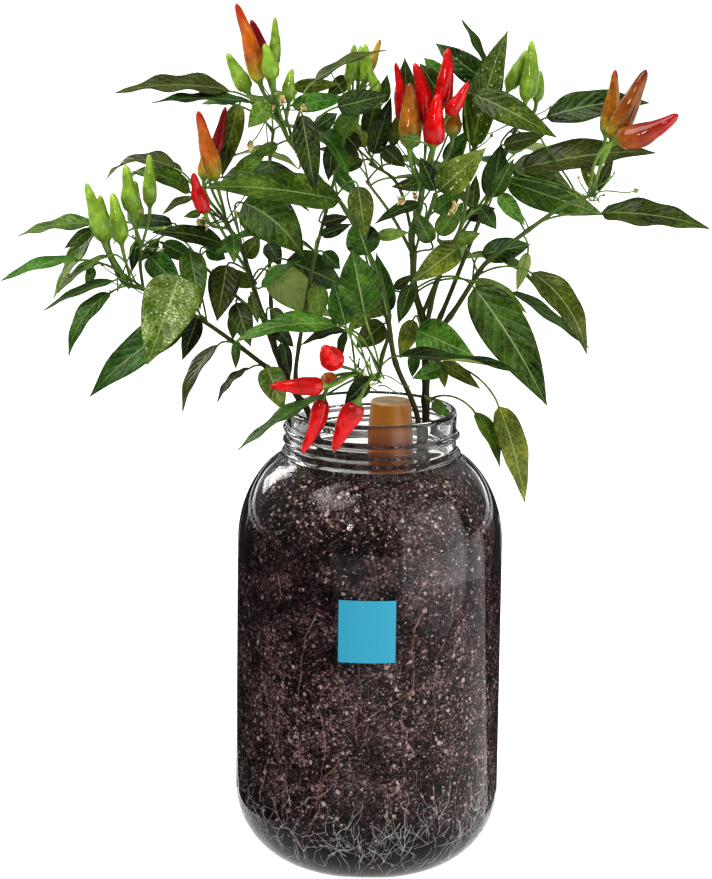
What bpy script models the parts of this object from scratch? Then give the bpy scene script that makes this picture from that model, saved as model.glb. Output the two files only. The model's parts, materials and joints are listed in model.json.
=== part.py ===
"""Potted chilli pepper plant: three leafy stems that bear upright pods, growing in a wide-mouth
glass jar filled with soil. Origin at the middle of the jar's base, +Z up, the front towards -Y."""

import math
import random

import bmesh
import bpy
from mathutils import Matrix, Vector

MM = 0.001  # every size below is in millimetres, and every mesh is made in metres
GAP = 0.3  # clearance between touching pieces

# Glass jar, half-gallon size with a wide mouth
JAR_SIDES = 32
BODY_R = 63.5
NECK_R = 41.0
RIM_Z = 225.0
SHOULDER_TOP_Z = 202.5
SHOULDER_FOOT_Z = 160.0
SHOULDER_FULLNESS = 0.66
SHOULDER_INSIDE = (160.0, 173.0, 185.0, 194.0, 201.5)
HEEL_Z = 38.0
BASE_R = 26.0
WALL = 3.2
FLOOR_GLASS = 7.0
BEAD_Z = 203.4
BEAD_STAND = 1.9
THREAD_TURNS = 1.4
THREAD_TOP_Z = 216.0
THREAD_PITCH = 5.8
THREAD_R = 1.3
THREAD_SIDES = 24

# Soil, amber plug and blank label
SOIL_TOP_Z = 194.0
SOIL_CROWN = 2.5
HOLE_FLOOR_Z = 176.0
PLUG_AT = (9.0, -4.0)
PLUG_TOP_Z = 230.0
PLUG_STEP_Z = 214.0
PLUG_FOOT_Z = 162.0
PLUG_TOP_R = 9.5
PLUG_R = 10.7
LABEL_WIDTH = 27.0
LABEL_HEIGHT = 30.0
LABEL_MIDDLE_Z = 132.0
LABEL_TURN = -0.9
LABEL_THICK = 0.5

# Front viewpoint, from which the plant's layout is given
EYE = Vector((-7.35, -1750.0, 607.0))

# Leaf blades, petioles and pedicels
SLIMMEST = 3.2
ARCH = 0.06
BEND = 0.0
FOLD = 0.24
RIB_HALF = 0.6
PETIOLE_R = 0.75
ROOT_SPACING = 1.7
STATIONS = ((30.0, (0.0, 0.14, 0.38, 0.68)), (17.0, (0.0, 0.24, 0.62)), (0.0, (0.0, 0.4)))
OUTLINE_RISE = 0.55
OUTLINE_FALL = 0.85
PEDICEL_R = 0.8
PEDICEL_END_R = 1.3
PEDICEL_SIDES = 4
CALYX = 2.4
POD_SIDES = 6

# Where each stem stands in the soil (across, depth)
FEET = {"left": (-21.0, 2.0), "middle": (21.5, -11.0), "right": (25.0, 8.0)}

# Stems: radius at the start and end, and points as seen from the front: across and up on the
# middle plane, then the depth behind that plane. The first stem of a plant grows from its foot.
STEMS = {
    "left": [
        ((2.4, 1.4), [(-30, 222, 2), (-34, 228, 2), (-41, 239, 3), (-46, 252, 5), (-52, 268, 8),
                      (-59, 289.5, 11), (-62.5, 301, 13), (-70, 313, 14)]),
        ((1.6, 1.0), [(-41, 239, 3), (-50, 244, -2), (-64, 254.5, -9), (-83, 267.5, -17),
                      (-109, 281, -22), (-118.5, 284, -24), (-125, 296, -20), (-130, 307, -18)]),
        ((1.1, 0.9), [(-109, 281, -22), (-110.5, 293, -14), (-110, 303, -10)]),
        ((1.3, 1.0), [(-46, 252, 5), (-48.5, 275, 18), (-49.5, 303, 27), (-49.7, 338, 33),
                      (-48, 358, 35)]),
        ((1.4, 1.0), [(-34, 228, 2), (-36.5, 239, 0), (-35, 255, -2), (-31, 280, -4),
                      (-28, 298, -5), (-22, 323, -5), (-18, 340, -4), (-11, 371, 0)]),
        ((1.2, 0.9), [(-52, 268, 8), (-66.5, 279.5, 20), (-84, 296, 36)]),
        ((1.2, 0.9), [(-59, 289.5, 11), (-66, 300, 40), (-76, 316, 66), (-84, 328, 86)]),
    ],
    "middle": [
        ((1.8, 1.2), [(22, 220, -15), (11, 247, -25), (7, 268, -30), (0, 294, -32),
                      (-13.6, 320, -30), (-20, 328, -30), (-31, 341, -28), (-40.6, 353, -26),
                      (-47, 366, -24)]),
        ((1.2, 1.3), [(7, 268, -30), (7.6, 261, -38), (4.7, 251, -46), (1.7, 239.5, -50),
                      (-8.3, 241, -52)]),
    ],
    "right": [
        ((2.7, 1.9), [(25.8, 220.6, 8), (25.5, 229, 8), (25.5, 240, 9), (24.5, 256, 10),
                      (23, 270, 12), (19.2, 283, 13), (18.5, 299, 14), (17.6, 309.5, 14),
                      (21, 322, 8), (23, 337, 3)]),
        ((1.6, 1.1), [(24.5, 256, 10), (27, 274, 9), (31.3, 290.4, 6), (36.5, 303, 3),
                      (41.4, 315, 0), (43.5, 330, -2), (45, 347, -2)]),
        ((1.6, 1.1), [(24.5, 256, 10), (32, 270, 13), (43.8, 301, 19), (49.6, 316.6, 23),
                      (58, 340, 26), (66, 361, 24)]),
        ((1.8, 1.1), [(24.5, 256, 10), (36.6, 270, 11), (49.5, 291, 9), (55, 297.6, 6),
                      (72.9, 312, 0), (88.8, 323.4, -6), (103.8, 329.5, -10)]),
        ((1.1, 0.9), [(17.6, 309.5, 14), (13.5, 326, 18), (8, 336, 20), (-3, 342.5, 22)]),
        ((1.3, 1.4), [(17.6, 309.5, 14), (24, 315, 0), (28.5, 328, -18)]),
        ((1.3, 0.9), [(23, 270, 12), (32, 292, 40), (46, 318, 62), (58, 336, 82)]),
        ((1.2, 0.9), [(18.5, 299, 14), (8, 318, 42), (-4, 334, 64)]),
    ],
}

# Sprays: the stem point that their leaves and pods grow from, as in STEMS, then
# leaves: where the blade starts and ends (across, up, across, up), seen width, depth of its
# start, how far its end lies behind that, then, where they are its own, its arch and its bend
# upwards in the view;
# pods: where the pod starts and ends, width, depth of its start, how far its end lies behind
# that, and its colour.
SPRAYS = {
    "left": [
        ((-130, 307, -18), [
            (-132, 312, -168, 306, 6, -18, 8),
            (-134, 309, -146.4, 300, 6, -24, -10),
            (-131, 311, -152, 276, 5, -12, -6),
        ], []),
        ((-118.5, 284, -24), [
            (-139.7, 294.7, -176.4, 284.4, 5, -34, -12),
            (-125.8, 297, -150, 279, 3.5, -30, -8),
            (-133, 291, -136, 281, 5, -14, -8),
            (-123.7, 285, -156.5, 271, 4, -34, -12),
        ], [
            (-127.5, 304.5, -136, 331.5, 8, -28, -3, "green"),
            (-126, 305, -129.6, 326, 7, -11, 3, "green"),
            (-119.5, 304, -123.7, 327, 8, -20, 2, "green"),
        ]),
        ((-109, 281, -22), [
            (-125, 279, -145, 248.5, 8, -38, -14, 0.14),
        ], []),
        ((-110, 303, -10), [
            (-95.6, 313, -118, 313, 6, 5, 6),
        ], [
            (-114.6, 318.6, -117.5, 340.5, 8, -16, -2, "green"),
            (-112.5, 312, -113, 333, 7.5, -4, 2, "green"),
            (-106, 321.8, -106.3, 345.6, 6.4, -10, 1, "green"),
        ]),
        ((-70, 313, 14), [
            (-87, 328, -114.5, 337.5, 8, 6, -8, 0.16),
            (-86, 325.5, -100, 317, 4, -4, -14),
            (-66.5, 308, -66, 294, 8, 2, -16),
            (-60, 322, -34.6, 298, 20, -6, -20, 0.06, 0.08),
            (-66, 336, -50, 349.5, 8, 24, 6),
            (-82, 318, -90, 316, 4, 4, -2),
            (-71.5, 303, -105, 308.5, 9, 4, -6, 0.1),
        ], [
            (-75.3, 335, -83.5, 366.4, 8.5, 2, -4, "orange"),
            (-77, 341, -70.5, 368.6, 6, 20, 3, "dark_red"),
            (-80.6, 334.7, -80.5, 352, 6.5, 10.5, 1, "amber"),
            (-80, 318.4, -85.6, 337, 7, -8, -4, "red"),
        ]),
        ((-59, 289.5, 11), [
            (-69.5, 293, -74, 266, 15, 4, -16),
            (-56, 284, -77, 291, 8, 16, 8),
            (-50, 290, -24, 274, 14, -8, -12),
            (-41, 295, -15, 283, 15, 8, 8),
            (-53, 283, -35, 296, 5, -2, -4),
        ], []),
        ((-52, 268, 8), [
            (-65, 275, -58, 254, 11, -2, -12),
            (-58, 279, -54.5, 265, 5, -4, -10),
            (-48, 272, -40, 266, 5, -8, -6),
        ], []),
        ((-64, 254.5, -9), [
            (-74, 254.5, -90.7, 222, 6, -16, -12, 0.1),
            (-65, 256, -65, 243, 4.5, -14, -4),
        ], []),
        ((-50, 244, -2), [
            (-59, 243.6, -74, 227, 3.5, -8, -8, 0.1),
            (-50, 244, -42, 223, 13, -10, -16),
        ], []),
        ((-83, 267.5, -17), [
            (-90, 265, -135, 229, 16, -28, -20, 0.1),
            (-92, 287, -107.3, 244.4, 23, -26, -34, 0.1),
            (-106, 297, -90, 280.5, 13, -4, -18),
            (-87, 299.5, -82, 272, 13, 0, -20),
            (-83.3, 267.5, -90.4, 247, 9, -24, -10),
        ], []),
        ((-49.5, 303, 27), [
            (-50, 304, -44, 293, 9, 18, -8),
        ], []),
        ((-84, 296, 36), [
            (-100, 303, -83, 295, 9, 26, 2),
            (-79, 301, -70, 296, 8, 24, 2),
        ], []),
        ((-22, 323, -5), [
            (-25, 314, -12, 317, 6, -12, 2),
        ], []),
        ((-18, 340, -4), [
            (-20, 352, -22, 334, 8, 4, 2),
        ], []),
        ((-48, 358, 35), [
            (-68, 370, -82, 369.6, 3, 36, 10),
            (-64, 370, -72, 335, 11, 27, 0),
        ], []),
        ((-11, 371, 0), [
            (-9, 368, -22, 350, 10, 4, 6),
        ], [
            (-12.5, 381, -10.5, 398.5, 6, -1, 0, "green"),
            (-8.5, 382, -7.6, 398, 5.5, 7, 2, "green"),
            (-5.5, 381, -5.5, 399, 5.5, -1, 1, "green"),
            (-4.6, 385, 1.5, 401, 5, 13, 2, "yellow"),
            (0.5, 376.5, -4, 388, 5, -8, -2, "green"),
        ]),
    ],
    "middle": [
        ((-47, 366, -24), [
            (-69, 376, -122.5, 374.5, 8, -30, -6, 0.06),
            (-60, 371, -105, 370.5, 5, -36, -10, 0.03),
            (-50.7, 370, -60, 358.5, 10, -34, -8),
            (-34.6, 365, -28, 328, 12, -38, -12),
            (-39.5, 369.5, -13.5, 373.5, 9, -14, 3, 0.12),
            (-39, 378, -17, 380, 7, -6, 2, 0.06),
            (-18, 369, 5.5, 375, 12, -30, 0, 0.08),
            (-29, 381, 4, 396.6, 4, -15, -4, 0.05),
        ], [
            (-55, 381, -66, 417, 8, -28, -3, "orange_red"),
            (-51, 383.4, -59, 409.5, 7, -17, 2, "dark_red"),
            (-48, 388, -47.8, 411, 5.5, -10, 2, "green"),
            (-48.7, 382, -52.4, 398.4, 7.5, -33, -2, "green"),
            (-60.5, 376.4, -70, 393.6, 7.5, -17, 5, "green"),
            (-40.8, 372, -39.4, 386.8, 6, -27, -1, "green"),
        ]),
        ((-20, 328, -30), [
            (-16.5, 324.5, -80.5, 330.5, 15, -36, -10, 0.05),
            (-8, 331.5, -4, 307, 12, -44, -6),
            (-18, 338, -8, 327, 7, -20, 2),
        ], []),
        ((7, 268, -30), [
            (-3, 299, -9, 316, 16, -48, 8),
            (1, 308, 16.5, 310, 6, -29, 5),
            (8, 272, 1, 300, 9, -20, 5),
            (5, 266, -8, 254, 12, -22, -3),
        ], []),
        ((1.7, 239.5, -50), [
            (-2, 238, -13, 227, 9, -53, -3),
            (13, 250.7, 74, 244, 6, -46, -8),
            (-4, 270.5, -10.5, 301.5, 20, -60, 8),
        ], [
            (-7, 227, -18, 203.7, 10, -61, -2, "red"),
        ]),
        ((-8.3, 241, -52), [
            (-17, 265, -66.5, 257, 9, -58, -6, 0.08),
            (-13, 265, -19, 286, 12, -58, 6),
            (-24, 230, -64, 204, 5, -42, 0, 0.03),
            (-14, 263, -34, 255.5, 4, -50, -6),
            (-14, 262, -31, 262, 4, -40, 4),
        ], [
            (-23.5, 229, -33, 202.5, 7.6, -56, -2, "red"),
            (-23.5, 235.5, -49, 235, 8, -60, -4, "red"),
            (-18, 247, -23, 254, 10, -60, -20, "red"),
            (-20, 239, -21, 237.5, 7, -43, -10, "orange"),
        ]),
    ],
    "right": [
        ((25.5, 229, 8), [
            (49.4, 223.4, 62, 197, 7, -20, -8, 0.1),
            (29, 228, 37.7, 221, 6, -22, -8),
        ], []),
        ((24.5, 256, 10), [
            (22.7, 266, 46, 251.7, 14, -10, -16),
            (34, 246, 19, 239.5, 9, 0, -8),
            (32.5, 247.7, 51.6, 235, 7, -4, -10),
            (33, 246, 34.7, 235, 5, 0, -4),
            (19, 268, 13, 249, 9, -2, -4),
            (60.6, 226.5, 74, 179.6, 13, -22, -10),
        ], []),
        ((19.2, 283, 13), [
            (48, 282.5, 83.5, 227, 21, -10, -20, 0.08, 0.06),
            (48, 286.6, 73, 272, 8, -4, -8, 0.1),
            (10, 283, 19, 290, 5, 6, -4),
        ], []),
        ((18.5, 299, 14), [
            (26.9, 305.4, 18, 321, 9, -8, -4),
            (28, 320, 41, 330, 9, 12, 6),
            (20.9, 324, 0.3, 314, 6, 4, -12),
        ], []),
        ((49.5, 291, 9), [
            (39.8, 303, 17.7, 286, 12, -6, -20),
            (74.7, 291.4, 101.7, 252.5, 12, -6, -14, 0.12, 0.06),
            (66, 282, 105, 257, 4, 6, 4),
            (52, 299, 74, 302.8, 10, 14, 10),
        ], []),
        ((72.9, 312, 0), [
            (106.8, 321.5, 158.2, 314, 12, -14, -12, 0.08),
            (58.6, 329, 71, 314, 8, -8, -6),
            (72.6, 301, 67.7, 282.4, 5, 4, -4),
        ], []),
        ((103.8, 329.5, -10), [
            (68.5, 341, 131.6, 351.5, 14, 4, -2, 0.04),
            (66, 333, 108.4, 319.4, 13, 8, 4),
            (79.7, 365.4, 128, 373, 14, 8, 4, 0.12),
            (103, 331, 95, 350, 6, 2, 3),
        ], [
            (108, 358, 111.5, 388.4, 7.5, -10, 0, "olive"),
            (111.5, 355.7, 125, 388.6, 9, -18, -4, "rust"),
            (114, 353.8, 141.8, 366, 9.5, -28, -8, "orange_red"),
        ]),
        ((45, 347, -2), [
            (45.6, 351, 60.8, 405.7, 15, 2, 8, 0.06),
            (45, 376, 85, 356, 14, -2, -14, 0.1),
            (53.5, 380, 27, 399.6, 13, 14, 8, 0.1),
            (51, 389, 39.5, 411, 3.5, 20, 6, 0.02),
        ], []),
        ((23, 337, 3), [
            (15, 362, 13, 392.5, 12, 12, 4),
            (32, 372, 20, 390, 13, 10, 2),
            (21, 353, 10.5, 355, 6, -22, -5),
            (26, 334, 7.5, 331.5, 7, 10, 2),
        ], [
            (11.5, 363.5, 8.6, 390.5, 5.5, 0, 2, "red"),
            (22.3, 362, 17.6, 390.3, 8.5, -2, 0, "red"),
            (30.5, 370, 33.2, 397.5, 8, -3, 1, "red"),
            (27.3, 352, 28.9, 376, 9.5, -16, -1, "red"),
            (34, 366, 43, 381.5, 6.5, -12, -1, "red"),
            (16, 351, 15.5, 381, 10, -13, 1, "olive"),
            (36, 356.5, 37, 373, 8, 4, 2, "olive"),
        ]),
        ((28.5, 328, -18), [
            (30, 330, 51.7, 350.5, 14, -21, -6),
            (28.5, 330, 21, 346, 9, -20, 3),
        ], []),
        ((66, 361, 24), [], [
            (62, 379, 70, 397, 7, 17, 2, "green"),
            (70, 374, 72, 401.5, 8, 11, 2, "green"),
            (75, 373, 76.5, 387.5, 5, 21, 2, "green"),
        ]),
        ((41.4, 315, 0), [
            (56.4, 329, 65, 345.6, 8, -8, -6),
            (43, 318, 57, 322, 8, 7, 4),
            (51, 321, 57.5, 312, 8, 1, -6),
        ], []),
        ((49.6, 316.6, 23), [
            (55, 327, 59, 353, 13, 17, 3),
        ], []),
        ((-3, 342.5, 22), [
            (-1, 347, 7, 374, 10, 16, -4),
            (-4, 356, 1, 378, 9, 27, 2),
            (-8, 349, -20, 362, 9, 18, 4),
            (-6, 344, -20, 337.5, 6, 14, -4),
            (4, 350, 14, 341, 9, 12, -4),
            (-5, 350, -9, 362, 7, 24, 6),
        ], []),
    ],
}

# Sprays on the far side: the stem point, how many leaves, and the way they face (degrees round
# from +X towards +Y)
FAR_SPRAYS = {
    "left": [((-84, 296, 36), 2, 140), ((-84, 328, 86), 5, 120), ((-48, 358, 35), 2, 80)],
    "middle": [],
    "right": [((58, 336, 82), 5, 60), ((-4, 334, 64), 4, 90), ((32, 292, 40), 2, 80)],
}
FAR_LEAF_LENGTH = (40.0, 54.0)
FAR_ARCH = 0.14
FAR_SEED = 11

COLOURS = {
    "glass": (0.85, 0.9, 0.9),
    "soil": (0.03, 0.018, 0.017),
    "plug": (0.35, 0.13, 0.03),
    "label": (0.02, 0.4, 0.62),
    "foliage": (0.05, 0.14, 0.025),
    "green": (0.3, 0.5, 0.05),
    "yellow": (0.6, 0.45, 0.06),
    "amber": (0.65, 0.33, 0.05),
    "olive": (0.35, 0.2, 0.03),
    "orange": (0.7, 0.2, 0.02),
    "rust": (0.5, 0.13, 0.02),
    "orange_red": (0.7, 0.09, 0.01),
    "red": (0.7, 0.01, 0.01),
    "dark_red": (0.3, 0.005, 0.01),
}


def clear_scene():
    """Remove every object that the scene starts with."""
    for obj in list(bpy.data.objects):
        bpy.data.objects.remove(obj, do_unlink=True)


def new_collection(name):
    """Make a collection and link it to the scene."""
    coll = bpy.data.collections.new(name)
    bpy.context.scene.collection.children.link(coll)
    return coll


def material(name, roughness=0.5, alpha=1.0):
    """Make the Principled material of one colour, or return it where it is made already."""
    if name in bpy.data.materials:
        return bpy.data.materials[name]
    mat = bpy.data.materials.new(name)
    mat.use_nodes = True
    shader = mat.node_tree.nodes["Principled BSDF"]
    shader.inputs["Base Color"].default_value = (*COLOURS[name], 1.0)
    shader.inputs["Roughness"].default_value = roughness
    shader.inputs["Alpha"].default_value = alpha
    return mat


def add_object(name, mesh, coll, mat=None):
    """Make an object of a mesh in a collection."""
    obj = bpy.data.objects.new(name, mesh)
    coll.objects.link(obj)
    if mat is not None:
        mesh.materials.clear()
        mesh.materials.append(mat)
    return obj


def seen(point):
    """Carry a point seen from the front (across, up, depth) along its sight line to its depth."""
    across, up, depth = point
    on_plane = Vector((across, 0.0, up))
    return EYE + (on_plane - EYE) * (1.0 + depth / -EYE.y)


def evaluated_mesh(obj):
    """Copy an object's mesh as its modifiers leave it."""
    graph = bpy.context.evaluated_depsgraph_get()
    return bpy.data.meshes.new_from_object(obj.evaluated_get(graph))


def bake(obj):
    """Replace an object's mesh with its evaluated one and drop its modifiers."""
    mesh = evaluated_mesh(obj)
    obj.modifiers.clear()
    obj.data = mesh


def turned(name, profile, coll, mat=None, sides=JAR_SIDES):
    """Turn a profile of (radius, height), in mm, about Z; it runs down its outer side."""
    mesh = bpy.data.meshes.new(name)
    points = [(r * MM, 0.0, z * MM) for r, z in profile]
    mesh.from_pydata(points, [(i, i + 1) for i in range(len(points) - 1)], [])
    obj = add_object(name, mesh, coll, mat)
    screw = obj.modifiers.new("turn", "SCREW")
    screw.steps = sides
    screw.render_steps = sides
    screw.use_merge_vertices = True
    screw.merge_threshold = 1e-5
    screw.use_smooth_shade = True
    return obj


def boolean(obj, cutter, operation):
    """Join or cut an object with another one by an exact Boolean."""
    mod = obj.modifiers.new(operation.lower(), "BOOLEAN")
    mod.operation = operation
    mod.solver = "EXACT"
    mod.object = cutter
    bpy.context.view_layer.update()
    bake(obj)
    bpy.data.objects.remove(cutter, do_unlink=True)


def shoulder_r(z):
    """Outer radius of the jar's shoulder at a height."""
    rise = (z - SHOULDER_FOOT_Z) / (SHOULDER_TOP_Z - SHOULDER_FOOT_Z)
    return NECK_R + (BODY_R - NECK_R) * (1.0 - rise * rise) ** SHOULDER_FULLNESS


def heel(base_r, body_r, floor_z, steps):
    """Points of a rounded heel, from the body down to the flat base."""
    points = []
    for i in range(steps + 1):
        turn = math.pi / 2 * i / steps
        points.append((base_r + (body_r - base_r) * math.cos(turn),
                       HEEL_Z - (HEEL_Z - floor_z) * math.sin(turn)))
    return points


def spaced(start, end, steps):
    """Even steps from start to end, both included."""
    return [start + (end - start) * i / steps for i in range(steps + 1)]


def inner_profile(gap, top_z):
    """Inside of the jar from the middle of its floor up to a height, in a gap from the glass."""
    body = BODY_R - WALL - gap
    points = [(0.0, FLOOR_GLASS + gap)]
    points += reversed(heel(BASE_R - 2.0, body, FLOOR_GLASS + gap, 4))
    points += [(shoulder_r(z) - WALL - gap, z) for z in SHOULDER_INSIDE if z < top_z]
    return points


def jar(coll):
    """Glass jar: a turned wall with a heel, a shoulder, a bead and a rim, and its thread."""
    neck_in = NECK_R - WALL - 0.5
    profile = inner_profile(0.0, SHOULDER_TOP_Z)
    profile += [(neck_in, SHOULDER_TOP_Z + 1.5), (neck_in, RIM_Z - 1.6), (neck_in + 0.7, RIM_Z),
                (NECK_R - 1.2, RIM_Z), (NECK_R - 0.4, RIM_Z - 1.6), (NECK_R - 0.4, BEAD_Z + 2.6),
                (NECK_R + BEAD_STAND, BEAD_Z + 1.0), (NECK_R + BEAD_STAND, BEAD_Z - 0.6)]
    profile += [(shoulder_r(z), z) for z in spaced(SHOULDER_TOP_Z - 1.0, SHOULDER_FOOT_Z, 5)]
    profile += heel(BASE_R, BODY_R, 0.0, 5)
    profile.append((0.0, 0.0))
    obj = turned("glass_jar", profile, coll, material("glass", 0.05, 0.35))
    bake(obj)
    boolean(obj, thread(coll), "UNION")
    finish_mesh(obj)


def thread(coll):
    """Screw thread of the jar's neck: a fading helix sunk half into the wall."""
    steps = round(THREAD_TURNS * THREAD_SIDES)
    path = []
    for i in range(steps + 1):
        turn = math.tau * THREAD_TURNS * i / steps + 0.05
        fade = min(1.0, i / 5, (steps - i) / 5)
        reach = NECK_R - 0.4 + (fade - 0.45) * 0.8
        z = THREAD_TOP_Z - THREAD_PITCH * THREAD_TURNS * i / steps
        path.append((Vector((reach * math.cos(turn), reach * math.sin(turn), z)), THREAD_R))
    return tube("thread", path, coll, 1)


def tube(name, path, coll, resolution=1):
    """Closed tube along points with a radius each, both in mm."""
    curve = bpy.data.curves.new(name, "CURVE")
    curve.dimensions = "3D"
    curve.bevel_depth = MM
    curve.bevel_resolution = resolution
    curve.use_fill_caps = True
    spline = curve.splines.new("POLY")
    spline.points.add(len(path) - 1)
    for point, (place, radius) in zip(spline.points, path):
        point.co = (*(place * MM), 1.0)
        point.radius = radius
    guide = bpy.data.objects.new(name, curve)
    coll.objects.link(guide)
    bpy.context.view_layer.update()
    mesh = evaluated_mesh(guide)
    bpy.data.objects.remove(guide, do_unlink=True)
    bm = bmesh.new()
    bm.from_mesh(mesh)
    bmesh.ops.remove_doubles(bm, verts=bm.verts, dist=1e-6)
    bmesh.ops.recalc_face_normals(bm, faces=bm.faces)
    bm.to_mesh(mesh)
    bm.free()
    return add_object(name, mesh, coll)


def finish_mesh(obj):
    """Shade an object smooth with its sharp edges kept."""
    obj.data.shade_smooth()
    obj.data.set_sharp_from_angle(angle=math.radians(40))


def soil(coll):
    """Soil that fills the jar, with a crowned top and a plain hole for each stem and the plug."""
    profile = [(0.0, SOIL_TOP_Z + SOIL_CROWN), (20.0, SOIL_TOP_Z + SOIL_CROWN * 0.8),
               (38.0, SOIL_TOP_Z + SOIL_CROWN * 0.3),
               (shoulder_r(SOIL_TOP_Z) - WALL - GAP, SOIL_TOP_Z)]
    profile += reversed(inner_profile(GAP, SOIL_TOP_Z - 2.0))
    obj = turned("soil", profile, coll, material("soil", 0.95))
    bake(obj)
    for name, (across, depth) in FEET.items():
        radius = STEMS[name][0][0][0] + 2 * GAP
        boolean(obj, hole(across, depth, radius, HOLE_FLOOR_Z, coll), "DIFFERENCE")
    boolean(obj, hole(*PLUG_AT, PLUG_R + GAP, PLUG_FOOT_Z - GAP, coll), "DIFFERENCE")
    finish_mesh(obj)


def hole(across, depth, radius, floor_z, coll):
    """Cylinder that cuts a plain hole into the soil, down to a height."""
    top_z = RIM_Z
    bpy.ops.mesh.primitive_cylinder_add(
        vertices=20, radius=radius * MM, depth=(top_z - floor_z) * MM,
        location=(across * MM, depth * MM, (top_z + floor_z) / 2 * MM))
    cutter = bpy.context.object
    cutter.name = "soil_hole_cutter"
    cutter.hide_render = True
    cutter.display_type = "WIRE"
    for owner in list(cutter.users_collection):
        owner.objects.unlink(cutter)
    coll.objects.link(cutter)
    return cutter


def plug(coll):
    """Amber plug that stands upright in the soil."""
    profile = [(0.0, PLUG_TOP_Z), (PLUG_TOP_R - 1.0, PLUG_TOP_Z), (PLUG_TOP_R, PLUG_TOP_Z - 1.0),
               (PLUG_R, PLUG_STEP_Z), (PLUG_R, PLUG_FOOT_Z + 1.0), (PLUG_R - 1.0, PLUG_FOOT_Z),
               (0.0, PLUG_FOOT_Z)]
    obj = turned("amber_plug", profile, coll, material("plug", 0.2), 24)
    obj.location = (PLUG_AT[0] * MM, PLUG_AT[1] * MM, 0.0)
    finish_mesh(obj)


def label(coll):
    """Plain blank label on the front of the jar, bent round its wall."""
    radius = BODY_R + GAP + LABEL_THICK / 2
    bpy.ops.mesh.primitive_grid_add(x_subdivisions=10, y_subdivisions=1, size=1.0)
    obj = bpy.context.object
    obj.name = "blank_label"
    for owner in list(obj.users_collection):
        owner.objects.unlink(obj)
    coll.objects.link(obj)
    for vert in obj.data.vertices:
        turn = vert.co.x * LABEL_WIDTH / radius + math.radians(LABEL_TURN)
        height = LABEL_MIDDLE_Z + vert.co.y * LABEL_HEIGHT
        vert.co = Vector((radius * math.sin(turn), -radius * math.cos(turn), height)) * MM
    solid = obj.modifiers.new("thickness", "SOLIDIFY")
    solid.thickness = LABEL_THICK * MM
    solid.offset = 0.0
    obj.data.materials.append(material("label", 0.4))


def smooth_path(points, radii, step=13.0):
    """Points on a smooth curve through the given ones, each with its radius along the way."""
    ends = [points[0] * 2 - points[1]] + points + [points[-1] * 2 - points[-2]]
    lengths = [(b - a).length for a, b in zip(points, points[1:])]
    total = sum(lengths)
    path = []
    gone = 0.0
    for i, length in enumerate(lengths):
        a, b, c, d = ends[i:i + 4]
        count = max(1, round(length / step))
        for k in range(count):
            t = k / count
            place = 0.5 * ((2 * b) + (c - a) * t + (2 * a - 5 * b + 4 * c - d) * t * t
                           + (3 * b - a - 3 * c + d) * t ** 3)
            share = (gone + length * t) / total
            path.append((place, radii[0] + (radii[1] - radii[0]) * share))
        gone += length
    path.append((points[-1], radii[1]))
    return path


def stem_path(plant, index):
    """Path of one of a plant's stems; the first one comes up from its foot in the soil."""
    radii, points = STEMS[plant][index]
    places = [seen(point) for point in points]
    if index == 0:
        across, depth = FEET[plant]
        foot = [Vector((across, depth, HOLE_FLOOR_Z + GAP)), Vector((across, depth, SOIL_TOP_Z))]
        places = foot + places
    return smooth_path(places, radii)


def bezier(start, lead_out, lead_in, end, t):
    """Point at t on a cubic curve."""
    rest = 1.0 - t
    return (start * rest ** 3 + lead_out * 3 * rest * rest * t
            + lead_in * 3 * rest * t * t + end * t ** 3)


def stalk(root, end, heading, count):
    """Points of a curved stalk from a stem to where it heads along the given direction."""
    reach = (end - root).length
    rise = ((end - root).normalized() + Vector((0.0, 0.0, 0.6))).normalized()
    lead_out = root + rise * reach * 0.35
    lead_in = end - heading * reach * 0.35
    return [bezier(root, lead_out, lead_in, end, i / count) for i in range(count)]


def leaf_frame(base, tip, width):
    """Side and face directions of a blade that looks as wide as given from the front."""
    axis = (tip - base).normalized()
    sight = ((base + tip) / 2 - EYE).normalized()
    across = axis.cross(sight).normalized()
    true_width = max(width, (tip - base).length / SLIMMEST)
    turn = math.acos(min(1.0, width / true_width))
    best = None
    for way in (turn, -turn):
        side = Matrix.Rotation(way, 3, axis) @ across
        for sign in (1, -1):
            face = (side * sign).cross(axis)
            score = face.z - 0.5 * face.dot(sight)
            if best is None or score > best[0]:
                best = (score, side * sign, face)
    return best[1], best[2], true_width


def outline(t):
    """Share of a blade's greatest half width at t along it."""
    peak_t = OUTLINE_RISE / (OUTLINE_RISE + OUTLINE_FALL)
    peak = peak_t ** OUTLINE_RISE * (1 - peak_t) ** OUTLINE_FALL
    return t ** OUTLINE_RISE * (1 - t) ** OUTLINE_FALL / peak


def blade_ring(place, side, face, half, rib):
    """Four corners of a blade's section: edge, top of the rib, edge, underside of the rib."""
    lift = face * (FOLD * max(0.0, half - 1.5))
    return [place - side * half + lift, place + face * rib,
            place + side * half + lift, place - face * rib]


def spread_roots(plant, at, count):
    """Points along a stem, from a stem point downwards, in which a spray's stalks are rooted."""
    top = seen(at)
    for _, points in STEMS[plant]:
        if at in points[1:]:
            below = seen(points[points.index(at) - 1])
            down = (below - top).normalized()
            return [top + down * (0.6 + ROOT_SPACING * i) for i in range(count)]
    return [top] * count


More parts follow.
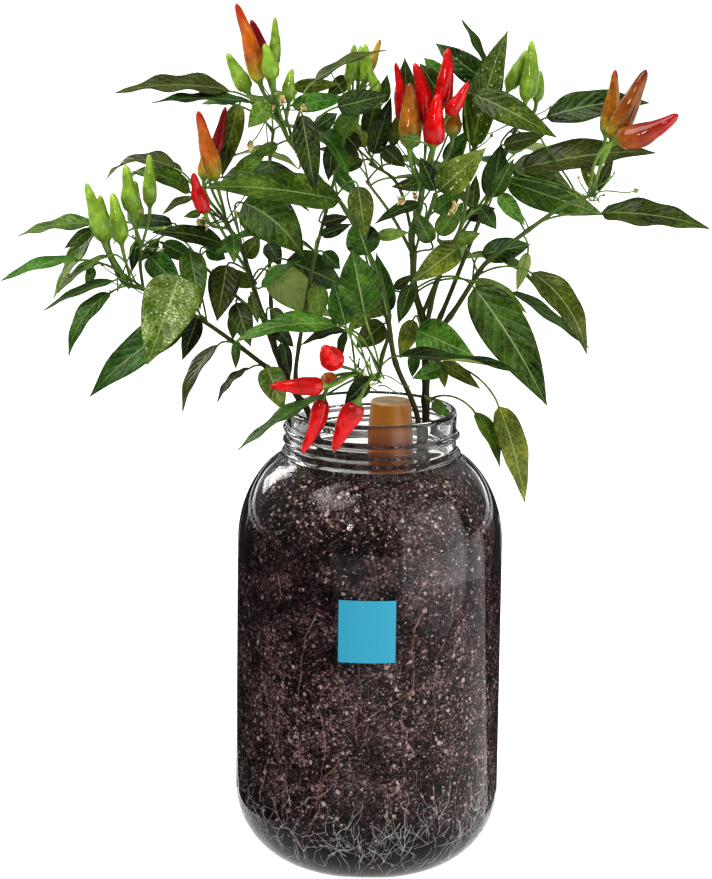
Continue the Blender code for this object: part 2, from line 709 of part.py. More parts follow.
def leaf_rings(root, base, tip, side, face, width, arch, bend=BEND):
    """Sections of a leaf, from its petiole's root in the stem to the last one before its tip."""
    span = tip - base
    across = span.cross((base + tip) / 2 - EYE).normalized()
    swing = across if across.z > 0 else -across
    bulge = (face * arch + swing * bend) * (span.length * 4)
    heading = (span + bulge).normalized()
    rings = []
    petiole = stalk(root, base, heading, 2 if (base - root).length > 10 else 1)
    course = petiole + [base]
    for i, place in enumerate(petiole):
        along = (course[i + 1] - place).normalized()
        turn = heading.rotation_difference(along)
        rings.append(blade_ring(place, turn @ side, turn @ face, PETIOLE_R, PETIOLE_R))
    stations = next(steps for least, steps in STATIONS if span.length > least)
    for t in stations:
        place = base + span * t + bulge * (t * (1 - t))
        along = (span + bulge * (1 - 2 * t)).normalized()
        normal = side.cross(along).normalized()
        half = max(PETIOLE_R, outline(t) * width / 2)
        rings.append(blade_ring(place, along.cross(normal), normal, half, RIB_HALF))
    return rings


def blade_mesh(name, rings, tip):
    """Closed mesh of a blade's sections; both faces are split along the same diagonals."""
    bm = bmesh.new()
    rows = [[bm.verts.new(corner * MM) for corner in ring] for ring in rings]
    point = bm.verts.new(tip * MM)
    for (la, ta, ra, ba), (lb, tb, rb, bb) in zip(rows, rows[1:]):
        for corners in ((la, ta, tb), (la, tb, lb), (ta, ra, tb), (ra, rb, tb),
                        (ra, ba, bb), (ra, bb, rb), (ba, la, bb), (la, lb, bb)):
            bm.faces.new(corners)
    for a, b in zip(rows[-1], rows[-1][1:] + rows[-1][:1]):
        bm.faces.new((a, b, point))
    left, top, right, under = rows[0]
    bm.faces.new((left, right, top))
    bm.faces.new((left, under, right))
    return closed_mesh(name, bm)


def closed_mesh(name, bm):
    """Turn a closed bmesh's faces outwards and make a mesh of it."""
    bmesh.ops.recalc_face_normals(bm, faces=bm.faces)
    mesh = bpy.data.meshes.new(name)
    bm.to_mesh(mesh)
    bm.free()
    return mesh


def ring_round(place, along, radius, sides):
    """Circle of points round a direction."""
    start = along.cross(Vector((0.31, 0.95, 0.02))).normalized()
    other = along.cross(start)
    turns = [math.tau * i / sides for i in range(sides)]
    return [place + start * radius * math.cos(a) + other * radius * math.sin(a) for a in turns]


def rings_mesh(name, rings, tip=None):
    """Closed mesh of rings with the same count of points, ending in a point or a flat end."""
    bm = bmesh.new()
    rows = [[bm.verts.new(corner * MM) for corner in ring] for ring in rings]
    for row, after in zip(rows, rows[1:]):
        for i in range(len(row)):
            k = (i + 1) % len(row)
            bm.faces.new((row[i], row[k], after[k], after[i]))
    bm.faces.new(rows[0])
    if tip is None:
        bm.faces.new(rows[-1])
    else:
        point = bm.verts.new(tip * MM)
        for i, vert in enumerate(rows[-1]):
            bm.faces.new((vert, rows[-1][(i + 1) % len(row)], point))
    return closed_mesh(name, bm)


def pedicel_mesh(name, root, pod_base, pod_axis, pod_radius):
    """Stalk of a pod, thickening into the calyx that ends just under the pod."""
    end = pod_base - pod_axis * GAP
    neck = end - pod_axis * CALYX
    course = stalk(root, neck, pod_axis, 2) + [neck]
    rings = []
    for i, place in enumerate(course[:-1]):
        along = (course[i + 1] - place).normalized()
        radius = PEDICEL_R + (PEDICEL_END_R - PEDICEL_R) * i / 2
        rings.append(ring_round(place, along, radius, PEDICEL_SIDES))
    rings.append(ring_round(neck, pod_axis, PEDICEL_END_R, PEDICEL_SIDES))
    rings.append(ring_round(end, pod_axis, pod_radius * 0.66, PEDICEL_SIDES))
    return rings_mesh(name, rings)


def pod_mesh(name, base, tip, radius):
    """Pod: a round base, the widest part a third of the way up, and a blunt tip."""
    span = tip - base
    along = span.normalized()
    shape = ((0.0, 0.62), (0.12, 0.96), (0.42, 1.0), (0.8, 0.56))
    rings = [ring_round(base + span * t, along, radius * share, POD_SIDES) for t, share in shape]
    return rings_mesh(name, rings, tip)


def far_leaf(root, facing, rng, index):
    """Base, tip, side, face and width of a leaf placed round a far stem point by turns."""
    turn = math.radians(facing + (index * 137.5) % 260 - 130 + rng.uniform(-12, 12))
    lift = rng.uniform(-0.1, 0.55)
    out = Vector((math.cos(turn), math.sin(turn), lift)).normalized()
    base = root + out * rng.uniform(12, 18) + Vector((0, 0, rng.uniform(2, 8)))
    length = rng.uniform(*FAR_LEAF_LENGTH)
    droop = Vector((0, 0, -0.35 - 0.5 * lift))
    tip = base + (out + droop).normalized() * length
    axis = (tip - base).normalized()
    side = axis.cross(Vector((0, 0, 1))).normalized()
    side = Matrix.Rotation(rng.uniform(-0.5, 0.5), 3, axis) @ side
    return base, tip, side, side.cross(axis), length / 2.9


def plant_pieces(plant):
    """Meshes of a plant's leaves and pedicels, and its pods as (base, tip, radius, colour)."""
    meshes = []
    pods = []
    for at, leaves, seen_pods in SPRAYS[plant]:
        roots = spread_roots(plant, at, len(seen_pods) + len(leaves))
        for row, root in zip(leaves, roots[len(seen_pods):]):
            x0, z0, x1, z1, width, depth, run = row[:7]
            arch = row[7] if len(row) > 7 else ARCH
            bend = row[8] if len(row) > 8 else BEND
            base = seen((x0, z0, depth))
            tip = seen((x1, z1, depth + run))
            side, face, true_width = leaf_frame(base, tip, width)
            rings = leaf_rings(root, base, tip, side, face, true_width, arch, bend)
            meshes.append(blade_mesh(f"leaf_{x0:g}_{z0:g}", rings, tip))
        for (x0, z0, x1, z1, width, depth, run, colour), root in zip(seen_pods, roots):
            base = seen((x0, z0, depth))
            tip = seen((x1, z1, depth + run))
            pods.append((base, tip, width / 2, colour))
            axis = (tip - base).normalized()
            meshes.append(pedicel_mesh(f"pedicel_{x0:g}_{z0:g}", root, base, axis, width / 2))
    rng = random.Random(FAR_SEED)
    for at, count, facing in FAR_SPRAYS[plant]:
        roots = spread_roots(plant, at, count)
        for i, root in enumerate(roots):
            base, tip, side, face, width = far_leaf(seen(at), facing, rng, i)
            rings = leaf_rings(root, base, tip, side, face, width, FAR_ARCH)
            meshes.append(blade_mesh(f"far_leaf_{at[0]:g}_{i}", rings, tip))
    return meshes, pods


def keep_largest(mesh):
    """Drop every loose scrap of a mesh but its largest body."""
    bm = bmesh.new()
    bm.from_mesh(mesh)
    left = set(bm.verts)
    bodies = []
    while left:
        body = {left.pop()}
        edge = set(body)
        while edge:
            edge = {e.other_vert(v) for v in edge for e in v.link_edges} & left
            left -= edge
            body |= edge
        bodies.append(body)
    bodies.sort(key=len)
    for body in bodies[:-1]:
        bmesh.ops.delete(bm, geom=list(body), context="VERTS")
    bm.to_mesh(mesh)
    bm.free()


def leafy_stem(plant, coll):
    """One plant: its stems, leaves, pedicels and calyces joined in a single body."""
    meshes, pods = plant_pieces(plant)
    pieces = new_collection(f"{plant}_pieces")
    for index in range(1, len(STEMS[plant])):
        tube(f"stem_{index}", stem_path(plant, index), pieces)
    for mesh in meshes:
        add_object(mesh.name, mesh, pieces)
    obj = tube(f"{plant}_leafy_stem", stem_path(plant, 0), coll)
    union = obj.modifiers.new("union", "BOOLEAN")
    union.operation = "UNION"
    union.solver = "MANIFOLD"
    union.operand_type = "COLLECTION"
    union.collection = pieces
    bpy.context.view_layer.update()
    bake(obj)
    for piece in list(pieces.objects):
        bpy.data.objects.remove(piece, do_unlink=True)
    bpy.data.collections.remove(pieces)
    keep_largest(obj.data)
    obj.data.materials.clear()
    obj.data.materials.append(material("foliage", 0.45))
    obj.data.shade_flat()
    return pods


def add_pods(plant, pods, coll):
    """One object for each pod of a plant."""
    for number, (base, tip, radius, colour) in enumerate(pods, 1):
        name = f"{plant}_pod_{number:02d}"
        obj = add_object(name, pod_mesh(name, base, tip, radius), coll, material(colour, 0.2))
        finish_mesh(obj)


def main():
    """Build the potted plant."""
    clear_scene()
    coll = new_collection("potted_chilli_plant")
    jar(coll)
    soil(coll)
    plug(coll)
    label(coll)
    for plant in STEMS:
        add_pods(plant, leafy_stem(plant, coll), coll)


main()
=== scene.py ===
"""Finished look of the potted chilli pepper plant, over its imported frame.

The origin is the middle of the jar's base, +Z is up and the front is towards -Y. Layout and
sizes are in millimetres, and meshes are made in metres.
"""

from __future__ import annotations

import json
import logging
import math
import random
from collections.abc import Callable, Iterable, Sequence
from dataclasses import dataclass
from enum import Enum
from typing import Any, NamedTuple

import bpy
from mathutils import Matrix, Vector, noise

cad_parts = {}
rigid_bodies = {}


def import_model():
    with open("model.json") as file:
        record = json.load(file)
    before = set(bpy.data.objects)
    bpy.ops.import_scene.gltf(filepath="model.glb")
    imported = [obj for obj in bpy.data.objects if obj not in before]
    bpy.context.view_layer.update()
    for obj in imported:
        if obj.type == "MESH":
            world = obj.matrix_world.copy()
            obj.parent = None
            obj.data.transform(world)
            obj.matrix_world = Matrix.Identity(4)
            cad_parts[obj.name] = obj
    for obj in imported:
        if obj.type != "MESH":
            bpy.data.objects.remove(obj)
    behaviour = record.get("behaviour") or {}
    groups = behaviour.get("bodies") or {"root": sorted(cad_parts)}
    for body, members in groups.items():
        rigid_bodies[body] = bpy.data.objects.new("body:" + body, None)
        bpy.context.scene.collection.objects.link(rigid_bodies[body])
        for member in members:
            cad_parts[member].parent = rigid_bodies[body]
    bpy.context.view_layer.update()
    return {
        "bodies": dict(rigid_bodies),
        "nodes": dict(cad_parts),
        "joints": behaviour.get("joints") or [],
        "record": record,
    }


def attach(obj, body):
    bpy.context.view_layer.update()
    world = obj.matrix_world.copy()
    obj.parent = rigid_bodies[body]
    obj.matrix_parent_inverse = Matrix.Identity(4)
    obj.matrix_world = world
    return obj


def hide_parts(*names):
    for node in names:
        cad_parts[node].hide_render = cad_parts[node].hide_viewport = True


LOG = logging.getLogger("chilli_plant")
MM = 0.001
BODY = "root"
EYE = Vector((-7.35, -1750.0, 607.0))

Colour = tuple[float, float, float, float]
Point = tuple[float, float, float]
Flat = tuple[float, float]
Course = list[tuple[Vector, float]]
Tree = bpy.types.NodeTree
Node = bpy.types.Node
Socket = bpy.types.NodeSocket
Piece = bpy.types.Object
Mould = Callable[[bpy.types.Mesh], None]


def linear(code: str) -> Colour:
    """Turn an sRGB hex code into linear colour.

    Args:
        code: Six hex digits, such as "8fae62".

    Returns:
        Linear red, green, blue and an alpha of 1.
    """
    parts = [int(code[i:i + 2], 16) / 255 for i in (0, 2, 4)]
    red, green, blue = (c / 12.92 if c <= 0.04045 else ((c + 0.055) / 1.055) ** 2.4 for c in parts)
    return (red, green, blue, 1.0)


def feed(node: Node, inputs: dict[str | int, Any]) -> None:
    """Link sockets to a node's inputs, or set them to plain values.

    Args:
        node: The node.
        inputs: For each input socket, by name or number, a socket, a node that stands for its
            first output in use, a value, or an sRGB hex code.
    """
    for name, value in inputs.items():
        if isinstance(value, Node):
            value = next(output for output in value.outputs if output.enabled)
        if isinstance(value, Socket):
            node.id_data.links.new(value, node.inputs[name])
        else:
            node.inputs[name].default_value = linear(value) if isinstance(value, str) else value


def add_node(tree: Tree, kind: str, inputs: dict[str | int, Any] | None = None,
             stops: Sequence[tuple[float, Colour | str]] = (), **settings: Any) -> Node:
    """Add a shader node with its settings, inputs and, on a ramp, its colour stops.

    Args:
        tree: Node tree that gets the node.
        kind: Blender's name for the node's type, without "ShaderNode".
        inputs: What goes into its input sockets, as feed takes it.
        stops: Places and colours, or hex codes, of a colour ramp's stops.
        settings: Properties to set on the node.

    Returns:
        The new node.
    """
    node = tree.nodes.new(f"ShaderNode{kind}")
    for name, value in settings.items():
        setattr(node, name, value)
    feed(node, inputs or {})
    for number, (place, colour) in enumerate(stops):
        if number < 2:
            stop = node.color_ramp.elements[number]
            stop.position = place
        else:
            stop = node.color_ramp.elements.new(place)
        stop.color = linear(colour) if isinstance(colour, str) else colour
    return node


class Finish:
    """A procedural material, made once and shared by the pieces that wear it."""

    name: str

    def dress(self, tree: Tree, shader: Node) -> None:
        """Add the finish's own nodes to a new material."""
        raise NotImplementedError

    def material(self) -> bpy.types.Material:
        """Make the finish's material on first use.

        Returns:
            The material.
        """
        if self.name not in bpy.data.materials:
            made = bpy.data.materials.new(self.name)
            made.use_nodes = True
            self.dress(made.node_tree, made.node_tree.nodes["Principled BSDF"])
        return bpy.data.materials[self.name]


@dataclass(frozen=True)
class LeafUpperSide(Finish):
    """Waxy upper side of a chilli leaf: deep green and glossy, with fine pale veins."""

    name: str = "leaf_upper_side"
    deep: str = "080f03"
    middle: str = "3a4f15"
    bright: str = "7c8b46"
    blue: str = "aef2ba"
    # Colour of the pale flecks: partly dust, partly painted glints of light.
    olive: str = "f4d590"
    vein: str = "8a9a60"
    dust_and_glints: str = "d3d9c0"
    side_veins: float = 8.0
    vein_slant: float = 2.1
    patch_mm: float = 12.0
    # Real cells, specks of dust and glints are under 0.3 mm. They are drawn coarser, so that they show.
    cell_mm: float = 1.5
    fleck_mm: float = 2.0
    fleck_patch_mm: float = 0.9

    def dress(self, tree: Tree, shader: Node) -> None:
        """Green by leaf and by patch, veins on the blade's UV map, fine cells, and pale flecks that are
        partly dust and partly painted glints.

        Args:
            tree: Node tree of the new material.
            shader: Its principled shader.
        """
        coords = add_node(tree, "TexCoord")
        spot = coords.outputs["Object"]
        vein, midrib, groove = vein_masks(tree, coords, self.side_veins, self.vein_slant)
        patches = add_node(tree, "TexNoise", {"Vector": spot, "Scale": 1 / (self.patch_mm * MM),
                                              "Detail": 5.0})
        cells = add_node(tree, "TexNoise", {"Vector": spot, "Scale": 1 / (self.cell_mm * MM), "Detail": 2.0})
        tone = add_node(tree, "Attribute", attribute_name="tone")
        warmth = add_node(tree, "Attribute", attribute_name="warmth")
        leaf = add_node(tree, "Math", {0: tone.outputs["Fac"], 1: 0.42}, operation="MULTIPLY")
        patch = add_node(tree, "Math", {0: patches, 1: 0.6, 2: leaf}, operation="MULTIPLY_ADD")
        share = add_node(tree, "Math", {0: cells, 1: 0.4, 2: patch}, operation="MULTIPLY_ADD")
        green = add_node(tree, "ValToRGB", {0: share}, stops=((0.42, self.deep), (0.98, self.bright),
                                                              (0.7, self.middle)))
        cast = add_node(tree, "Mix", {0: warmth.outputs["Fac"], 6: self.blue, 7: self.olive},
                        data_type="RGBA")
        hued = add_node(tree, "Mix", {0: 1.0, 6: green, 7: cast}, data_type="RGBA", blend_type="MULTIPLY")
        faint = add_node(tree, "Math", {0: vein, 1: 0.12}, operation="MULTIPLY")
        lines = add_node(tree, "Math", {0: faint, 1: midrib}, operation="MAXIMUM")
        veined = add_node(tree, "Mix", {0: lines, 6: hued, 7: self.vein}, data_type="RGBA")
        flecks = add_node(tree, "TexVoronoi", {"Vector": spot, "Scale": 1 / (self.fleck_mm * MM)})
        chance = add_node(tree, "SeparateXYZ", {0: flecks.outputs["Color"]})
        size = add_node(tree, "MapRange", {0: chance.outputs[0], 1: 0.25, 2: 1.0, 3: 0.0, 4: 0.34})
        dots = add_node(tree, "MapRange", {0: flecks, 1: 0.0, 2: size, 3: 0.9, 4: 0.0})
        fleck_patches = add_node(tree, "TexNoise", {"Vector": spot, "Scale": 1 / (self.fleck_patch_mm * MM), "Detail": 2.0})
        fleck_patch_mask = add_node(tree, "MapRange", {0: fleck_patches, 1: 0.5, 2: 0.78})
        where = add_node(tree, "MapRange", {0: patches, 1: 0.42, 2: 0.62, 3: 0.05, 4: 1.0})
        dry = add_node(tree, "Math", {0: fleck_patch_mask, 1: where}, operation="MULTIPLY")
        # Pale flecks and patches: partly dust, partly painted glints of light.
        dust_and_glints_share = add_node(tree, "Attribute", attribute_name="dust_and_glints")
        heavy_fleck_share = add_node(tree, "MapRange", {0: dust_and_glints_share.outputs["Fac"], 1: 0.85, 2: 1.0})
        thick = add_node(tree, "Math", {0: dry, 1: heavy_fleck_share}, operation="MULTIPLY")
        most = add_node(tree, "Math", {0: dots, 1: thick}, operation="MAXIMUM")
        dotted = add_node(tree, "Math", {0: most, 1: dust_and_glints_share.outputs["Fac"]}, operation="MULTIPLY")
        final = add_node(tree, "Mix", {0: dotted, 6: veined, 7: self.dust_and_glints}, data_type="RGBA")
        sheen = add_node(tree, "MapRange", {0: patches, 3: 0.2, 4: 0.42})
        rough = add_node(tree, "Bump", {"Height": cells, "Strength": 0.5, "Distance": 0.35 * MM})
        quilt = add_node(tree, "Bump", {"Height": groove, "Strength": 0.3, "Distance": 0.7 * MM,
                                        "Normal": rough}, invert=True)
        feed(shader, {"Base Color": final, "Roughness": sheen, "Specular IOR Level": 0.15, "Normal": quilt})


@dataclass(frozen=True)
class LeafUnderSide(Finish):
    """Matt underside of a chilli leaf: paler and yellower, with raised veins."""

    name: str = "leaf_underside"
    deep: str = "4c6024"
    bright: str = "7c8c40"
    vein: str = "a3ae68"
    side_veins: float = 8.0
    vein_slant: float = 2.1
    patch_mm: float = 10.0

    def dress(self, tree: Tree, shader: Node) -> None:
        """Pale green by patches, with veins along the blade's own UV map.

        Args:
            tree: Node tree of the new material.
            shader: Its principled shader.
        """
        coords = add_node(tree, "TexCoord")
        spot = coords.outputs["Object"]
        vein, midrib, _ = vein_masks(tree, coords, self.side_veins, self.vein_slant)
        patches = add_node(tree, "TexNoise", {"Vector": spot, "Scale": 1 / (self.patch_mm * MM),
                                              "Detail": 3.0})
        green = add_node(tree, "Mix", {0: patches, 6: self.deep, 7: self.bright}, data_type="RGBA")
        faint = add_node(tree, "Math", {0: vein, 1: 0.45}, operation="MULTIPLY")
        lines = add_node(tree, "Math", {0: faint, 1: midrib}, operation="MAXIMUM")
        veined = add_node(tree, "Mix", {0: lines, 6: green, 7: self.vein}, data_type="RGBA")
        bump = add_node(tree, "Bump", {"Height": vein, "Strength": 0.6, "Distance": 0.4 * MM})
        feed(shader, {"Base Color": veined, "Roughness": 0.55, "Normal": bump})


def vein_masks(tree: Tree, coords: Node, count: float, slant: float) -> tuple[Socket, Socket, Socket]:
    """Draw a blade's veins on its UV map, where u runs across and v from base to tip.

    Args:
        tree: Node tree of the leaf's material.
        coords: Its texture coordinate node.
        count: Side veins from the base to the tip.
        slant: How far a side vein runs on towards the tip, in gaps between veins.

    Returns:
        The masks of the side veins, of the midrib and of the wide grooves along the side veins.
    """
    uv = add_node(tree, "SeparateXYZ", {0: coords.outputs["UV"]})
    centred = add_node(tree, "Math", {0: uv.outputs[0], 1: 0.5}, operation="SUBTRACT")
    beside = add_node(tree, "Math", {0: centred}, operation="ABSOLUTE")
    lean = add_node(tree, "Math", {0: beside, 1: -2.0 * slant}, operation="MULTIPLY")
    along = add_node(tree, "Math", {0: uv.outputs[1], 1: count, 2: lean}, operation="MULTIPLY_ADD")
    step = add_node(tree, "Math", {0: along}, operation="FRACT")
    middle = add_node(tree, "Math", {0: step, 1: 0.5}, operation="SUBTRACT")
    near = add_node(tree, "Math", {0: middle}, operation="ABSOLUTE")
    vein = add_node(tree, "MapRange", {0: near, 1: 0.4, 2: 0.5}, interpolation_type="SMOOTHSTEP")
    groove = add_node(tree, "MapRange", {0: near, 1: 0.1, 2: 0.5}, interpolation_type="SMOOTHSTEP")
    rib = add_node(tree, "MapRange", {0: beside, 1: 0.006, 2: 0.03, 3: 0.5, 4: 0.0},
                   interpolation_type="SMOOTHSTEP")
    return vein.outputs[0], rib.outputs[0], groove.outputs[0]


@dataclass(frozen=True)
class StemSkin(Finish):
    """Stem of a chilli plant: corky brown at its foot and smooth green higher up."""

    name: str = "stem_skin"
    foot: str = "241a10"
    middle: str = "303116"
    top: str = "42542a"
    foot_z: float = 215.0
    top_z: float = 345.0
    streak_mm: float = 1.4

    def dress(self, tree: Tree, shader: Node) -> None:
        """Colour by height, with fine streaks along the stem.

        Args:
            tree: Node tree of the new material.
            shader: Its principled shader.
        """
        spot = add_node(tree, "TexCoord").outputs["Object"]
        place = add_node(tree, "SeparateXYZ", {0: spot})
        height = add_node(tree, "MapRange", {0: place.outputs[2], 1: self.foot_z * MM, 2: self.top_z * MM})
        squeeze = add_node(tree, "Mapping", {"Vector": spot, "Scale": (1.0, 1.0, 0.15)})
        streaks = add_node(tree, "TexNoise", {"Vector": squeeze, "Scale": 1 / (self.streak_mm * MM),
                                              "Detail": 3.0})
        blend = add_node(tree, "Math", {0: streaks, 1: 0.45, 2: height}, operation="MULTIPLY_ADD")
        ramp = add_node(tree, "ValToRGB", {0: blend}, stops=((0.15, self.foot), (0.55, self.middle),
                                                             (1.0, self.top)))
        bump = add_node(tree, "Bump", {"Height": streaks, "Strength": 0.4, "Distance": 0.2 * MM})
        feed(shader, {"Base Color": ramp, "Roughness": 0.6, "Specular IOR Level": 0.12, "Normal": bump})


@dataclass(frozen=True)
class PodSkin(Finish):
    """Taut, waxy skin of a chilli pod: sharp small lights, and colour that ripens to its tip.

    The coat is the wax. Its IOR is matched down from 1.45, so that dark reds stay deep.
    """

    name: str
    slot: str
    base: str
    middle: str
    tip: str
    base_end: float = 0.12
    tip_start: float = 0.7
    wrinkle_mm: float = 1.6
    lump_mm: float = 6.0

    def dress(self, tree: Tree, shader: Node) -> None:
        """Colour along the pod's own UV map, darker in the lumps' hollows as painted shade, and glossy over
        lumps and wrinkles.

        Args:
            tree: Node tree of the new material.
            shader: Its principled shader.
        """
        coords = add_node(tree, "TexCoord")
        spot = coords.outputs["Object"]
        uv = add_node(tree, "SeparateXYZ", {0: coords.outputs["UV"]})
        wrinkles = add_node(tree, "TexNoise", {"Vector": spot, "Scale": 1 / (self.wrinkle_mm * MM),
                                               "Detail": 2.0})
        lumps = add_node(tree, "TexNoise", {"Vector": spot, "Scale": 1 / (self.lump_mm * MM), "Detail": 1.0})
        shift = add_node(tree, "Math", {0: wrinkles, 1: 0.5}, operation="SUBTRACT")
        along = add_node(tree, "Math", {0: shift, 1: 0.3, 2: uv.outputs[1]}, operation="MULTIPLY_ADD")
        ramp = add_node(tree, "ValToRGB", {0: along}, stops=((self.base_end, self.base),
                                                             (self.base_end + 0.25, self.middle),
                                                             (self.tip_start, self.middle),
                                                             (self.tip_start + 0.2, self.tip)))
        # Painted shade: the colour is darker where the lumps' bump dips, in their hollows.
        hollow_shade = add_node(tree, "MapRange", {0: lumps, 1: 0.3, 2: 0.7, 3: 0.62, 4: 1.12})
        hollow_shaded = add_node(tree, "VectorMath", {0: ramp, "Scale": hollow_shade}, operation="SCALE")
        fine = add_node(tree, "Bump", {"Height": wrinkles, "Strength": 0.6, "Distance": 0.8 * MM})
        bump = add_node(tree, "Bump", {"Height": lumps, "Strength": 0.9, "Distance": 3.0 * MM,
                                       "Normal": fine})
        feed(shader, {"Base Color": hollow_shaded, "Roughness": 0.42, "Specular IOR Level": 0.04,
                      "Coat Weight": 0.6, "Coat Roughness": 0.035, "Coat IOR": 1.4, "Normal": bump})


class Skin(Enum):
    """Ripeness of a pod, and the skin that it wears."""

    GREEN = PodSkin("pod_skin_green", "green", "5f7a1e", "728f2e", "86a43c")
    YELLOW = PodSkin("pod_skin_yellow", "yellow", "7d8c28", "9c8622", "a88a26")
    AMBER = PodSkin("pod_skin_amber", "amber", "7e8626", "925f16", "92440f")
    OLIVE = PodSkin("pod_skin_olive", "olive", "737528", "8a5515", "823813")
    ORANGE = PodSkin("pod_skin_orange", "orange", "968a20", "aa5a12", "a8320c", tip_start=0.66)
    RUST = PodSkin("pod_skin_rust", "rust", "8c781c", "733c0c", "602406")
    ORANGE_RED = PodSkin("pod_skin_orange_red", "orange_red", "948a20", "aa5812", "a8320c", tip_start=0.64)
    BRICK = PodSkin("pod_skin_brick_red", "orange_red", "86501a", "74270b", "8a120c", tip_start=0.5)
    RED = PodSkin("pod_skin_red", "red", "960c0a", "ae0b0d", "bb1311")
    DARK_RED = PodSkin("pod_skin_dark_red", "dark_red", "5c070b", "6c080e", "7a0c12")


@dataclass(frozen=True)
class SodaGlass(Finish):
    """Clear pressed soda-lime glass: bright lines where light grazes it, and no tint to speak of.

    Its IOR is matched down from 1.52 and its mirror image is dimmed, or the white floor in it
    would hide the soil.
    """

    name: str = "soda_glass"
    tint: str = "ebebe9"
    wave_mm: float = 35.714

    def dress(self, tree: Tree, shader: Node) -> None:
        """Let light through, with shallow waves left by pressing.

        Args:
            tree: Node tree of the new material.
            shader: Its principled shader.
        """
        spot = add_node(tree, "TexCoord").outputs["Object"]
        waves = add_node(tree, "TexNoise", {"Vector": spot, "Scale": 1 / (self.wave_mm * MM), "Detail": 1.0})
        bump = add_node(tree, "Bump", {"Height": waves, "Strength": 0.12, "Distance": 1.2 * MM})
        feed(shader, {"Normal": bump, "Base Color": self.tint, "Roughness": 0.0, "IOR": 1.42,
                      "Transmission Weight": 1.0, "Specular Tint": (0.25, 0.25, 0.25, 1.0)})


